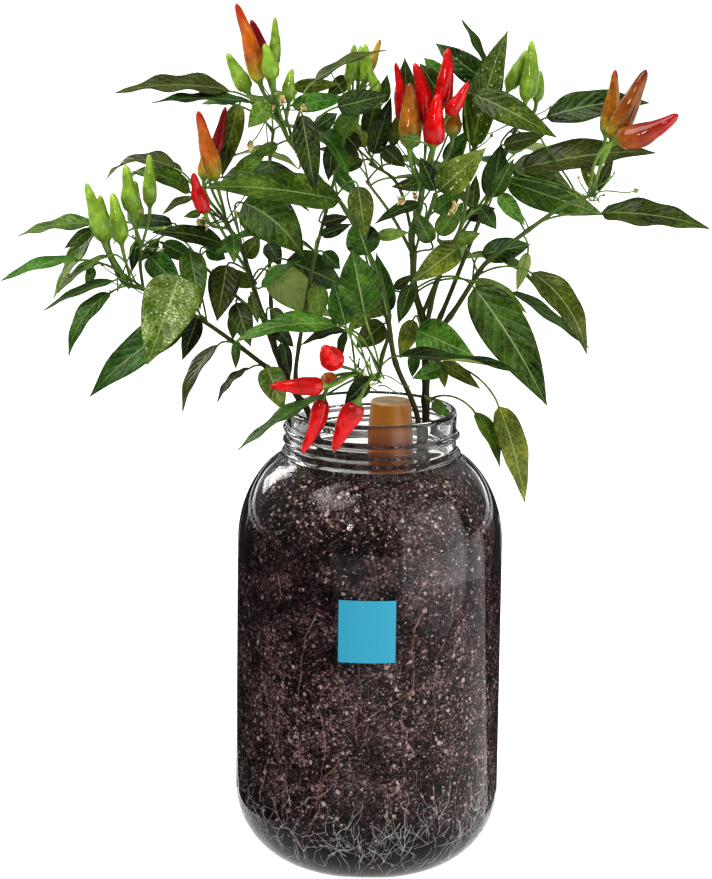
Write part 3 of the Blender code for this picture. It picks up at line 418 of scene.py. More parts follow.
@dataclass(frozen=True)
class PottingSoil(Finish):
    """Moist potting soil against glass: almost black, purplish crumbs and pale pink grit."""

    name: str = "potting_soil"
    black: str = "030202"
    dark: str = "24171b"
    brown: str = "61474b"
    purple: str = "b4959c"
    wet: str = "0d0c0d"
    grit_dark: str = "8c6c67"
    grit_light: str = "ead0c8"
    crumb_mm: float = 1.0
    # Real fine grit is about 0.3 mm. It is drawn coarser, so that it shows.
    speck_mm: float = 0.6
    clump_mm: float = 16.0
    top_z: float = 200.0
    damp_z: float = 66.0
    sodden_z: float = 36.0
    damp_wander: float = 30.0
    ragged_mm: float = 1.1
    grit_sizes_mm: tuple[float, ...] = (2.2, 1.0)
    grit_shares: tuple[float, ...] = (0.42, 0.7)
    grit_bands: tuple[tuple[float, float], ...] = (
        (0.1, 0.1), (1.0, 0.9), (0.24, 0.72), (0.5, 1.0), (0.64, 0.36), (0.83, 0.34), (0.93, 0.85))

    def grit(self, tree: Tree, ragged: Node, likely: Node,
             size_mm: float, share: float) -> tuple[Socket, Socket]:
        """Pick some cells of a size for grit.

        Args:
            tree: Node tree of the soil.
            ragged: Node whose vector gives the grains ragged outlines.
            likely: Node that gives how likely grit is at a place.
            size_mm: Distance between grains.
            share: Share of the grains that show where grit is sure.

        Returns:
            The grains' mask and a random number for each.
        """
        cells = add_node(tree, "TexVoronoi", {"Vector": ragged.outputs[0], "Scale": 1 / (size_mm * MM)})
        chance = add_node(tree, "SeparateXYZ", {0: cells.outputs["Color"]})
        limit = add_node(tree, "Math", {0: likely.outputs[0], 1: share}, operation="MULTIPLY")
        chosen = add_node(tree, "Math", {0: chance.outputs[1], 1: limit}, operation="LESS_THAN")
        size = add_node(tree, "MapRange", {0: chance.outputs[2], 3: 0.18, 4: 0.55})
        inside = add_node(tree, "Math", {0: cells, 1: size}, operation="LESS_THAN")
        grain = add_node(tree, "Math", {0: chosen, 1: inside}, operation="MULTIPLY")
        return grain.outputs[0], chance.outputs[0]

    def dress(self, tree: Tree, shader: Node) -> None:
        """Crumbs of many browns, darker clumps, and grit that lies in three bands of height.

        Args:
            tree: Node tree of the new material.
            shader: Its principled shader.
        """
        spot = add_node(tree, "TexCoord").outputs["Object"]
        clumps = add_node(tree, "TexNoise", {"Vector": spot, "Scale": 1 / (self.clump_mm * MM), "Detail": 6.0,
                                             "Roughness": 0.62})
        wander = add_node(tree, "TexNoise", {"Vector": spot, "Scale": 1 / (self.ragged_mm * MM),
                                             "Detail": 2.0})
        centred = add_node(tree, "VectorMath", {0: wander.outputs["Color"], 1: (0.5, 0.5, 0.5)},
                           operation="SUBTRACT")
        scaled = add_node(tree, "VectorMath", {0: centred, "Scale": 1.6 * MM}, operation="SCALE")
        ragged = add_node(tree, "VectorMath", {0: scaled, 1: spot}, operation="ADD")
        crumbs = add_node(tree, "TexVoronoi", {"Vector": ragged, "Scale": 1 / (self.crumb_mm * MM)})
        shade = add_node(tree, "SeparateXYZ", {0: crumbs.outputs["Color"]})
        uneven = add_node(tree, "Math", {0: clumps, 1: 0.8}, operation="MULTIPLY")
        both = add_node(tree, "Math", {0: shade.outputs[0], 1: 0.42, 2: uneven}, operation="MULTIPLY_ADD")
        ramp = add_node(tree, "ValToRGB", {0: both}, stops=((0.43, self.black), (0.96, self.purple),
                                                            (0.59, self.dark), (0.77, self.brown)))
        place = add_node(tree, "SeparateXYZ", {0: spot})
        height = add_node(tree, "MapRange", {0: place.outputs[2], 1: 0.0, 2: self.top_z * MM})
        levels = [(at, (share, share, share, 1.0)) for at, share in self.grit_bands]
        bands = add_node(tree, "ValToRGB", {0: height}, stops=levels)
        likely = add_node(tree, "Math", {0: bands, 1: clumps}, operation="MULTIPLY")
        low = add_node(tree, "Math", {0: clumps, 1: self.damp_wander * MM, 2: place.outputs[2]},
                       operation="MULTIPLY_ADD")
        sodden = add_node(tree, "MapRange", {0: low, 1: self.damp_z * MM, 2: self.sodden_z * MM, 3: 0.0,
                                             4: 0.92})
        soaked = add_node(tree, "Mix", {0: sodden, 6: ramp, 7: self.wet}, data_type="RGBA")
        specks = add_node(tree, "TexNoise", {"Vector": spot, "Scale": 1 / (self.speck_mm * MM),
                                             "Detail": 1.0})
        sparks = add_node(tree, "MapRange", {0: specks, 1: 0.6, 2: 0.74})
        some = add_node(tree, "Math", {0: sparks, 1: likely}, operation="MULTIPLY")
        flecked = add_node(tree, "Mix", {0: some, 6: soaked, 7: self.grit_light}, data_type="RGBA")
        colour = flecked.outputs[2]
        for size_mm, share in zip(self.grit_sizes_mm, self.grit_shares):
            mask, number = self.grit(tree, ragged, likely, size_mm, share)
            pale = add_node(tree, "Mix", {0: number, 6: self.grit_dark, 7: self.grit_light}, data_type="RGBA")
            layer = add_node(tree, "Mix", {0: mask, 6: colour, 7: pale}, data_type="RGBA")
            colour = layer.outputs[2]
        bump = add_node(tree, "Bump", {"Height": crumbs, "Strength": 1.0, "Distance": 1.2 * MM}, invert=True)
        feed(shader, {"Base Color": colour, "Roughness": 0.8, "Specular IOR Level": 0.1, "Normal": bump})


@dataclass(frozen=True)
class TwoTone(Finish):
    """A plain thing of two near colours: green skin, perlite, root, crumb or velvet."""

    name: str
    shade: str
    light: str
    grain_mm: float
    roughness: float = 0.8
    detail: float = 3.0
    specular: float = 0.5
    bump: float = 0.5

    def dress(self, tree: Tree, shader: Node) -> None:
        """Fine grain between the two colours.

        Args:
            tree: Node tree of the new material.
            shader: Its principled shader.
        """
        spot = add_node(tree, "TexCoord").outputs["Object"]
        grain = add_node(tree, "TexNoise", {"Vector": spot, "Scale": 1 / (self.grain_mm * MM),
                                            "Detail": self.detail})
        ramp = add_node(tree, "ValToRGB", {0: grain}, stops=((0.35, self.shade), (0.65, self.light)))
        bump = add_node(tree, "Bump", {"Height": grain, "Strength": self.bump, "Distance": 0.3 * MM})
        feed(shader, {"Base Color": ramp, "Roughness": self.roughness, "Specular IOR Level": self.specular,
                      "Normal": bump})


@dataclass(frozen=True)
class AmberResin(Finish):
    """Cast amber resin: cloudy, with painted light and shade that turn it from golden near its top to redder
    and darker lower down, inside the jar.
    """

    name: str = "amber_resin"
    low: str = "6a270a"
    middle: str = "83410f"
    high: str = "98601c"
    cloud_mm: float = 8.3333
    low_z: float = 195.0
    high_z: float = 229.0

    def dress(self, tree: Tree, shader: Node) -> None:
        """Colour by height, as painted light at the top and painted shade lower down, with soft clouds
        inside.

        Args:
            tree: Node tree of the new material.
            shader: Its principled shader.
        """
        spot = add_node(tree, "TexCoord").outputs["Object"]
        place = add_node(tree, "SeparateXYZ", {0: spot})
        clouds = add_node(tree, "TexNoise", {"Vector": spot, "Scale": 1 / (self.cloud_mm * MM),
                                             "Detail": 2.0})
        # Painted light and shade: golden at the top, redder and darker lower down inside the jar.
        height = add_node(tree, "MapRange", {0: place.outputs[2], 1: self.low_z * MM, 2: self.high_z * MM})
        blend = add_node(tree, "Math", {0: clouds, 1: 0.25, 2: height}, operation="MULTIPLY_ADD")
        ramp = add_node(tree, "ValToRGB", {0: blend}, stops=((0.2, self.low), (0.6, self.middle),
                                                             (0.85, self.high)))
        feed(shader, {"Base Color": ramp, "Roughness": 0.3, "Specular IOR Level": 0.3})


@dataclass(frozen=True)
class VinylLabel(Finish):
    """Plain printed vinyl: even cyan-blue with the least orange peel."""

    name: str = "vinyl_label"
    blue: str = "08788f"
    deep: str = "07738a"
    # Real orange peel is about 0.3 mm across. It is drawn coarser, so that it shows.
    peel_mm: float = 1.1111

    def dress(self, tree: Tree, shader: Node) -> None:
        """Almost even blue with a fine texture.

        Args:
            tree: Node tree of the new material.
            shader: Its principled shader.
        """
        spot = add_node(tree, "TexCoord").outputs["Object"]
        peel = add_node(tree, "TexNoise", {"Vector": spot, "Scale": 1 / (self.peel_mm * MM), "Detail": 2.0})
        blend = add_node(tree, "Mix", {0: peel, 6: self.deep, 7: self.blue}, data_type="RGBA")
        bump = add_node(tree, "Bump", {"Height": peel, "Strength": 0.1, "Distance": 0.05 * MM})
        feed(shader, {"Base Color": blend, "Roughness": 0.4, "Normal": bump})


@dataclass(frozen=True)
class StudioFloor(Finish):
    """Backlit opal acrylic of a light table, which glows white and hides almost all shadow."""

    name: str = "opal_acrylic"
    shade: str = "8c8c8a"
    glow: float = 1.0

    def dress(self, tree: Tree, shader: Node) -> None:
        """One matt pale colour, lit from below.

        Args:
            tree: Node tree of the new material.
            shader: Its principled shader.
        """
        feed(shader, {"Base Color": self.shade, "Roughness": 0.9, "Specular IOR Level": 0.1,
                      "Emission Color": (1.0, 1.0, 1.0, 1.0), "Emission Strength": self.glow})


# Thin green skin: smooth, with a soft wax light and no grain.
PETIOLE = TwoTone("petiole_skin", "2c4014", "57742a", 6.0, 0.45, 2.0, 0.3, 0.0)
POD_STALK = TwoTone("pod_stalk_skin", "3c531a", "5f782d", 6.0, 0.45, 2.0, 0.3, 0.0)
# Amber resin ground flat: pale and dull.
PLUG_CAP = TwoTone("amber_cap", "8a7050", "a48c6c", 5.0, 0.5)
# Black velvet: almost no light comes back from it.
BLACK_VELVET = TwoTone("black_velvet", "050505", "080808", 2.0, 1.0)
# A grey sheet that glows evenly and dimly though it is no lamp, and shows only in the glass: a painted pale
# reflection along the jar's heel.
GLOWING_REFLECTION_SHEET = StudioFloor("glowing_reflection_sheet", "585858", 0.85)
# Expanded perlite: chalky, pinkish white grains.
PERLITE = TwoTone("perlite", "cfb4ae", "fff2ec", 0.8)
# Young roots: pale and faintly moist.
PALE_ROOT = TwoTone("pale_root", "b4b1ad", "ffffff", 2.5, 0.6)
# Older roots: woody, brownish pink.
RED_ROOT = TwoTone("red_root", "6c443f", "c2978c", 4.0, 0.6)
# Loose potting soil: dull, dark brown crumbs.
CRUMB = TwoTone("soil_crumb", "1d1413", "43302e", 2.0, 0.9)
# Withered petals: papery and tan.
DRY_PETAL = TwoTone("withered_petal", "8f7448", "c8b07f", 1.2, 0.7)


class Leaf(NamedTuple):
    """A blade as seen from the front, in mm.

    Its base and tip (across, up), seen width, depth of its base, how far its tip lies behind
    that, the height of its arch and its bend upwards in the view as shares of its length,
    whether its underside faces the front, how light and how warm its green is, or below 0 where
    chance decides, and how many pale flecks it has, partly dust and partly painted glints.
    """

    x0: float
    z0: float
    x1: float
    z1: float
    width: float
    depth: float
    run: float
    arch: float = 0.06
    bend: float = 0.0
    under: bool = False
    tone: float = -1.0
    warmth: float = -1.0
    dust_and_glints: float = 0.12


class Pod(NamedTuple):
    """A pod as seen from the front, in mm: base, tip, width, depth, run behind it and skin."""

    x0: float
    z0: float
    x1: float
    z1: float
    width: float
    depth: float
    run: float
    skin: Skin


class Spray(NamedTuple):
    """The stem point that a group of leaves and pods grows from, and those leaves and pods."""

    at: Point
    leaves: Sequence[Leaf]
    pods: Sequence[Pod] = ()


class FarSpray(NamedTuple):
    """Leaves on the far side: their stem point, how many, and the way they face in degrees."""

    at: Point
    count: int
    facing: float


class Flower(NamedTuple):
    """A bud or withered flower: the stem point of its stalk, its place, size in mm, and if dry."""

    at: Point
    place: Point
    size: float
    dry: bool


class Stem(NamedTuple):
    """A stem's radius at its start and end, and its points as seen from the front, in mm."""

    radii: tuple[float, float]
    points: Sequence[Point]


STEMS: dict[str, list[Stem]] = {
    "left": [
        Stem((2.4, 1.4), [(-30, 222, 2), (-34, 228, 2), (-41, 239, 3), (-46, 252, 5), (-52, 268, 8),
                      (-59, 289.5, 11), (-62.5, 301, 13), (-70, 313, 14)]),
        Stem((1.6, 1.0), [(-41, 239, 3), (-50, 244, -2), (-64, 254.5, -9), (-83, 267.5, -17),
                      (-109, 281, -22), (-118.5, 284, -24), (-125, 296, -20), (-130, 307, -18)]),
        Stem((1.1, 0.9), [(-109, 281, -22), (-110.5, 293, -14), (-110, 303, -10)]),
        Stem((1.3, 1.0), [(-46, 252, 5), (-48.5, 275, 18), (-49.5, 303, 27), (-49.7, 338, 33),
                      (-48, 358, 35)]),
        Stem((1.4, 1.0), [(-34, 228, 2), (-36.5, 239, 0), (-35, 255, -2), (-31, 280, -4),
                      (-28, 298, -5), (-22, 323, -5), (-18, 340, -4), (-11, 371, 0)]),
        Stem((1.2, 0.9), [(-52, 268, 8), (-66.5, 279.5, 20), (-84, 296, 36)]),
        Stem((1.2, 0.9), [(-59, 289.5, 11), (-66, 300, 40), (-76, 316, 66), (-84, 328, 86)]),
    ],
    "middle": [
        Stem((1.8, 1.2), [(22, 220, -15), (11, 247, -25), (7, 268, -30), (0, 294, -32),
                      (-13.6, 320, -30), (-20, 328, -30), (-31, 341, -28), (-40.6, 353, -26),
                      (-47, 366, -24)]),
        Stem((1.2, 1.3), [(7, 268, -30), (7.6, 261, -38), (4.7, 251, -46), (1.7, 239.5, -50),
                      (-8.3, 241, -52)]),
    ],
    "right": [
        Stem((2.7, 1.9), [(25.8, 220.6, 8), (25.5, 229, 8), (25.5, 240, 9), (24.5, 256, 10),
                      (23, 270, 12), (19.2, 283, 13), (18.5, 299, 14), (17.6, 309.5, 14),
                      (21, 322, 8), (23, 337, 3)]),
        Stem((1.6, 1.1), [(24.5, 256, 10), (27, 274, 9), (31.3, 290.4, 6), (36.5, 303, 3),
                      (41.4, 315, 0), (43.5, 330, -2), (45, 347, -2)]),
        Stem((1.6, 1.1), [(24.5, 256, 10), (32, 270, 13), (43.8, 301, 19), (49.6, 316.6, 23),
                      (58, 340, 26), (66, 361, 24)]),
        Stem((1.8, 1.1), [(24.5, 256, 10), (36.6, 270, 11), (49.5, 291, 9), (55, 297.6, 6),
                      (72.9, 312, 0), (88.8, 323.4, -6), (103.8, 329.5, -10)]),
        Stem((1.1, 0.9), [(17.6, 309.5, 14), (13.5, 326, 18), (8, 336, 20), (-3, 342.5, 22)]),
        Stem((1.3, 1.4), [(17.6, 309.5, 14), (24, 315, 0), (28.5, 328, -18)]),
        Stem((1.3, 0.9), [(23, 270, 12), (32, 292, 40), (46, 318, 62), (58, 336, 82)]),
        Stem((1.2, 0.9), [(18.5, 299, 14), (8, 318, 42), (-4, 334, 64)]),
    ],
}

SPRAYS: dict[str, list[Spray]] = {
    "left": [
        Spray((-130, 307, -18), [
            Leaf(-132, 312, -168, 306, 6, -18, 8), Leaf(-134, 309, -146.4, 300, 6, -24, -10),
            Leaf(-131, 311, -152, 276, 6.5, -12, -6, 0.02)]),
        Spray((-118.5, 284, -24), [
            Leaf(-139.7, 294.7, -176.4, 284.4, 5, -34, -12), Leaf(-125.8, 297, -150, 279, 3.5, -30, -8),
            Leaf(-133, 291, -136, 281, 5, -14, -8), Leaf(-123.7, 285, -156.5, 271, 4, -34, -12, 0.02)], [
            Pod(-127.5, 304.5, -136, 331.5, 8, -28, -3, Skin.GREEN),
            Pod(-126, 305, -129.6, 326, 7, -11, 3, Skin.GREEN),
            Pod(-119.5, 304, -123.7, 327, 8, -20, 2, Skin.GREEN)]),
        Spray((-109, 281, -22), [Leaf(-125, 279, -145, 248.5, 8, -38, -14, 0.14)]),
        Spray((-110, 303, -10), [
            Leaf(-95.6, 313, -118, 313, 6, 5, 6)], [
            Pod(-114.6, 318.6, -117.5, 340.5, 8, -16, -2, Skin.GREEN),
            Pod(-112.5, 312, -113, 333, 7.5, -4, 2, Skin.GREEN),
            Pod(-106, 321.8, -106.3, 345.6, 6.4, -10, 1, Skin.GREEN)]),
        Spray((-70, 313, 14), [
            Leaf(-87, 328, -114.5, 337.5, 8, 6, -8, 0.16), Leaf(-86, 325.5, -100, 317, 4, -4, -14),
            Leaf(-66.5, 308, -66, 294, 8, 2, -16),
            Leaf(-62, 323, -33.5, 298, 24, -6, -20, 0.06, 0.08, tone=0.4, warmth=0.5, dust_and_glints=0.1),
            Leaf(-66, 336, -50, 349.5, 8, 24, 6), Leaf(-82, 318, -90, 316, 4, 4, -2),
            Leaf(-71.5, 303, -105, 308.5, 9, 4, -6, 0.1)], [
            Pod(-75.3, 335, -83.5, 366.4, 8.5, 2, -4, Skin.ORANGE),
            Pod(-77, 341, -70.5, 368.6, 6, 20, 3, Skin.DARK_RED),
            Pod(-80.6, 334.7, -80.5, 352, 6.5, 10.5, 1, Skin.AMBER),
            Pod(-80, 318.4, -85.6, 337, 7, -8, -4, Skin.RED)]),
        Spray((-59, 289.5, 11), [
            Leaf(-69.5, 293, -74, 266, 15, 4, -16), Leaf(-56, 284, -77, 291, 8, 16, 8),
            Leaf(-51, 291, -20, 269, 18, 2, -2, under=True), Leaf(-41, 296, -14, 284, 18, 8, 8, tone=0.25),
            Leaf(-53, 283, -35, 296, 5, -2, -4)]),
        Spray((-52, 268, 8), [
            Leaf(-65, 275, -58, 254, 11, -2, -12), Leaf(-58, 279, -54.5, 265, 5, -4, -10),
            Leaf(-48, 272, -40, 266, 5, -8, -6)]),
        Spray((-64, 254.5, -9), [
            Leaf(-74, 254.5, -90.7, 222, 6, -16, -12, 0.1), Leaf(-65, 256, -65, 243, 4.5, -14, -4)]),
        Spray((-50, 244, -2), [
            Leaf(-59, 243.6, -74, 227, 3.5, -8, -8, 0.1), Leaf(-50, 244, -42, 223, 13, -10, -16)]),
        Spray((-83, 267.5, -17), [
            Leaf(-90, 265, -135, 229, 16, -28, -20, 0.1),
            Leaf(-92, 287, -107.3, 244.4, 26, -26, -34, 0.1, tone=0.7, warmth=0.6, dust_and_glints=1.0),
            Leaf(-106, 297, -90, 280.5, 13, -4, -18, tone=0.35, warmth=0.1),
            Leaf(-87, 299.5, -82, 272, 13, 0, -20, tone=0.45, warmth=0.5, dust_and_glints=0.65),
            Leaf(-83.3, 267.5, -90.4, 247, 9, -24, -10)]),
        Spray((-49.5, 303, 27), [Leaf(-50, 304, -44, 293, 9, 18, -8)]),
        Spray((-84, 296, 36), [Leaf(-100, 303, -83, 295, 9, 26, 2), Leaf(-79, 301, -70, 296, 8, 24, 2)]),
        Spray((-22, 323, -5), [Leaf(-25, 314, -12, 317, 6, -12, 2)]),
        Spray((-18, 340, -4), [Leaf(-20, 352, -22, 334, 8, 4, 2)]),
        Spray((-48, 358, 35), [Leaf(-68, 370, -82, 369.6, 3, 36, 10), Leaf(-64, 370, -72, 335, 11, 27, 0)]),
        Spray((-11, 371, 0), [
            Leaf(-9, 368, -22, 350, 10, 4, 6)], [
            Pod(-12.5, 381, -10.5, 398.5, 6, -1, 0, Skin.GREEN),
            Pod(-8.5, 382, -7.6, 398, 5.5, 7, 2, Skin.GREEN),
            Pod(-5.5, 381, -5.5, 399, 5.5, -1, 1, Skin.GREEN),
            Pod(-4.6, 385, 1.5, 401, 5, 13, 2, Skin.YELLOW),
            Pod(0.5, 376.5, -4, 388, 5, -8, -2, Skin.GREEN)]),
        Spray((-110, 303, -10), [
            Leaf(-112, 304, -114.5, 289, 5.5, -6, -3), Leaf(-102, 304, -111, 294, 5, -2, 2)]),
        Spray((-62.5, 301, 13), [Leaf(-61, 297, -54, 308, 9, 8, -2), Leaf(-66, 305, -75, 299, 7, 18, 4)]),
        Spray((-52, 268, 8), [Leaf(-46, 263, -37.5, 254, 7, 4, -3), Leaf(-66, 270, -66.5, 257, 6, -4, -2)]),
        Spray((-46, 252, 5), [Leaf(-42.5, 256, -39, 239, 6, 2, -3)]),
        Spray((-28, 298, -5), [Leaf(-25, 308, -11, 313.5, 6, -8, 2), Leaf(-24, 300, -16, 292, 8, 4, 4)]),
        Spray((-31, 280, -4), [Leaf(-27, 284, -25, 268, 10, -6, -4, tone=0.7)]),
        Spray((-11, 371, 0), [Leaf(-13, 383, -23, 374, 8, 4, 3), Leaf(3, 371, 5, 384.5, 6, 6, 2)]),
    ],
    "middle": [
        Spray((-47, 366, -24), [
            Leaf(-69, 376, -122.5, 374.5, 8, -30, -6, 0.06), Leaf(-60, 371, -105, 370.5, 5, -36, -10, 0.03),
            Leaf(-50.7, 370, -60, 358.5, 10, -34, -8), Leaf(-34.6, 365, -28, 328, 12, -38, -12),
            Leaf(-39.5, 369.5, -13.5, 373.5, 9, -14, 3, 0.12), Leaf(-39, 378, -17, 380, 7, -6, 2, 0.06),
            Leaf(-18, 369, 5.5, 375, 12, -30, 0, 0.08), Leaf(-29, 381, 4, 396.6, 4, -15, -4, 0.05)], [
            Pod(-55, 381, -66, 417, 8, -28, -3, Skin.ORANGE_RED),
            Pod(-51, 383.4, -59, 409.5, 7, -17, 2, Skin.DARK_RED),
            Pod(-48, 388, -47.8, 411, 5.5, -10, 2, Skin.GREEN),
            Pod(-48.7, 382, -52.4, 398.4, 7.5, -33, -2, Skin.GREEN),
            Pod(-60.5, 376.4, -70, 393.6, 7.5, -17, 5, Skin.GREEN),
            Pod(-40.8, 372, -39.4, 386.8, 6, -27, -1, Skin.GREEN)]),
        Spray((-20, 328, -30), [
            Leaf(-16.5, 324.5, -80.5, 330.5, 15, -36, -10, 0.05, tone=0.45, warmth=0.6),
            Leaf(-8, 331.5, -4, 307, 12, -44, -6), Leaf(-18, 338, -8, 327, 7, -20, 2)]),
        Spray((7, 268, -30), [
            Leaf(-3, 299, -9, 316, 16, -48, 8), Leaf(1, 308, 16.5, 310, 6, -29, 5),
            Leaf(8, 272, 1, 300, 9, -20, 5), Leaf(5, 266, -8, 254, 12, -22, -3)]),
        Spray((1.7, 239.5, -50), [
            Leaf(-2, 238, -13, 227, 9, -53, -3), Leaf(13, 250.7, 75, 243, 4, -46, -8, 0.03, -0.01),
            Leaf(-4, 270.5, -10.5, 301.5, 20, -60, 8, tone=0.3, warmth=0.25)], [
            Pod(-7, 227, -18, 203.7, 10, -61, -2, Skin.RED)]),
        Spray((-8.3, 241, -52), [
            Leaf(-17, 265, -66.5, 257, 9, -58, -6, 0.08, tone=0.6, warmth=0.2),
            Leaf(-13, 265, -19, 286, 12, -58, 6), Leaf(-24, 230, -64, 204, 5, -42, 0, 0.03),
            Leaf(-14, 263, -34, 255.5, 4, -50, -6), Leaf(-14, 262, -31, 262, 4, -40, 4)], [
            Pod(-23.5, 229, -33, 202.5, 7.6, -56, -2, Skin.RED),
            Pod(-23.5, 235.5, -49, 235, 8, -60, -4, Skin.RED),
            Pod(-18, 247, -23, 254, 10, -60, -20, Skin.RED),
            Pod(-20, 239, -21, 237.5, 7, -43, -10, Skin.ORANGE)]),
        Spray((7, 268, -30), [Leaf(-2, 273, -12, 262, 8, -28, -4), Leaf(6, 275, -5, 268.5, 7, -26, -2)]),
        Spray((-40.6, 353, -26), [Leaf(-28, 359, -18, 366, 8, -22, 2), Leaf(-46, 351, -58, 345, 6, -16, 4)]),
        Spray((-8.3, 241, -52), [Leaf(-13, 262, -16, 246, 4, -50, -2)]),
    ],
    "right": [
        Spray((25.5, 229, 8), [
            Leaf(49.4, 223.4, 62, 197, 7, -20, -8, 0.1), Leaf(29, 228, 37.7, 221, 6, -22, -8)]),
        Spray((24.5, 256, 10), [
            Leaf(21, 263, 48, 251, 18, -10, -16, tone=0.6, warmth=0.15), Leaf(34, 246, 19, 239.5, 9, 0, -8),
            Leaf(32.5, 247.7, 51.6, 235, 7, -4, -10), Leaf(33, 246, 34.7, 235, 5, 0, -4),
            Leaf(19, 268, 13, 249, 9, -2, -4),
            Leaf(60.6, 226.5, 74, 179.6, 13, -22, -10, tone=0.6, warmth=0.95, dust_and_glints=0.15)]),
        Spray((19.2, 283, 13), [
            Leaf(47.5, 284, 83.5, 227, 23, -10, -20, 0.08, 0.03, tone=0.24, warmth=0.5, dust_and_glints=0.06),
            Leaf(48, 286.6, 73, 272, 8, -4, -8, 0.1), Leaf(10, 283, 19, 290, 5, 6, -4)]),
        Spray((18.5, 299, 14), [
            Leaf(26.9, 305.4, 18, 321, 9, -8, -4), Leaf(28, 320, 41, 330, 9, 12, 6),
            Leaf(20.9, 324, 0.3, 314, 6, 4, -12)]),
        Spray((49.5, 291, 9), [
            Leaf(39.8, 303, 17.7, 286, 13, -6, -20, tone=0.5),
            Leaf(74.7, 291.4, 101.7, 252.5, 13, -6, -14, 0.12, 0.05, tone=0.3, warmth=0.9),
            Leaf(66, 282, 103.5, 256.5, 5, 6, 4, 0.02, -0.02), Leaf(51, 300, 74, 305, 12, 14, 10)]),
        Spray((72.9, 312, 0), [
            Leaf(106.8, 320.5, 158.2, 314, 12, -14, -12, 0.06, tone=0.25, warmth=0.8),
            Leaf(58.6, 329, 71, 314, 8, -8, -6), Leaf(72.6, 301, 67.7, 282.4, 6, 4, -4, under=True)]),
        Spray((103.8, 329.5, -10), [
            Leaf(68.5, 341, 131.6, 350.5, 14, 4, -2, 0.04, tone=0.3),
            Leaf(62, 335, 108.4, 319.4, 16, 8, 4, tone=0.4),
            Leaf(79.7, 365.4, 128, 373, 14, 8, 4, 0.12, tone=0.12, warmth=0.5),
            Leaf(103, 331, 95, 350, 6, 2, 3)], [
            Pod(108, 358, 111.5, 388.4, 7.5, -10, 0, Skin.OLIVE),
            Pod(111.5, 355.7, 126, 388.6, 10, -18, -4, Skin.RUST),
            Pod(114, 354.8, 141.8, 367.5, 10.5, -28, -8, Skin.BRICK)]),
        Spray((45, 347, -2), [
            Leaf(45.6, 351, 60.8, 405.7, 16, 2, 8, 0.06, tone=0.42, warmth=0.7, dust_and_glints=0.8),
            Leaf(45, 376, 85, 356, 14, -2, -14, 0.1, tone=0.35, warmth=0.7),
            Leaf(53.5, 380, 27, 399.6, 13, 14, 8, 0.1, tone=0.2, warmth=0.3, dust_and_glints=0.65),
            Leaf(51, 389, 39.5, 411, 3.5, 20, 6, 0.02)]),
        Spray((23, 337, 3), [
            Leaf(15, 362, 13, 392.5, 12, 12, 4), Leaf(32, 372, 20, 390, 13, 10, 2),
            Leaf(21, 353, 10.5, 355, 6, -22, -5), Leaf(26, 334, 7.5, 331.5, 7, 10, 2)], [
            Pod(11.5, 363.5, 8.6, 390.5, 5.5, 0, 2, Skin.RED),
            Pod(22.3, 362, 17.6, 390.3, 8.5, -2, 0, Skin.RED),
            Pod(30.5, 370, 33.2, 397.5, 8, -3, 1, Skin.RED),
            Pod(27.3, 352, 28.9, 376, 9.5, -16, -1, Skin.RED),
            Pod(34, 366, 43, 381.5, 6.5, -12, -1, Skin.RED), Pod(16, 351, 15.5, 381, 10, -13, 1, Skin.OLIVE),
            Pod(36, 356.5, 37, 373, 8, 4, 2, Skin.OLIVE)]),
        Spray((28.5, 328, -18), [
            Leaf(30, 330, 51.7, 350.5, 15, -21, -6, tone=0.6, warmth=0.7, dust_and_glints=0.8),
            Leaf(28.5, 330, 21, 346, 9, -20, 3)]),
        Spray((66, 361, 24), [], [
            Pod(62, 379, 70, 397, 7, 17, 2, Skin.GREEN), Pod(70, 374, 72, 401.5, 8, 11, 2, Skin.GREEN),
            Pod(75, 373, 76.5, 387.5, 5, 21, 2, Skin.GREEN)]),
        Spray((41.4, 315, 0), [
            Leaf(56.4, 329, 65, 345.6, 8, -8, -6), Leaf(43, 318, 57, 322, 8, 7, 4),
            Leaf(51, 321, 57.5, 312, 8, 1, -6)]),
        Spray((49.6, 316.6, 23), [Leaf(55, 327, 59, 353, 13, 17, 3)]),
        Spray((-3, 342.5, 22), [
            Leaf(-1, 347, 7, 374, 10, 16, -4), Leaf(-4, 356, 1, 378, 9, 27, 2),
            Leaf(-8, 349, -20, 362, 9, 18, 4), Leaf(-6, 344, -20, 337.5, 6, 14, -4),
            Leaf(4, 350, 14, 341, 9, 12, -4), Leaf(-5, 350, -9, 362, 7, 24, 6)]),
        Spray((19.2, 283, 13), [Leaf(17.5, 285, 12, 266, 8, 4, -4)]),
        Spray((24.5, 256, 10), [Leaf(20, 252, 19, 240, 6, 0, -2)]),
        Spray((36.5, 303, 3), [Leaf(30, 309, 42, 325, 10, 6, 3), Leaf(38, 306, 50, 310, 7, 2, 3)]),
        Spray((41.4, 315, 0), [Leaf(46, 322, 47.5, 338, 6, 0, 3)]),
        Spray((23, 337, 3), [
            Leaf(33, 343, 43.5, 359, 9, 10, 4), Leaf(8, 351, 10, 366, 6, 12, 3),
            Leaf(31, 384, 22, 392.5, 7, 12, 3)]),
        Spray((66, 361, 24), [Leaf(60, 352, 80, 357.5, 8, 14, 2)]),
        Spray((103.8, 329.5, -10), [Leaf(104, 331, 112, 348, 6, -4, 2)]),
    ],
}

FAR_SPRAYS: dict[str, list[FarSpray]] = {
    "left": [FarSpray((-84, 296, 36), 2, 140), FarSpray((-84, 328, 86), 5, 120),
             FarSpray((-48, 358, 35), 2, 80)],
    "middle": [],
    "right": [FarSpray((58, 336, 82), 5, 60), FarSpray((-4, 334, 64), 4, 90),
              FarSpray((32, 292, 40), 2, 80)],
}

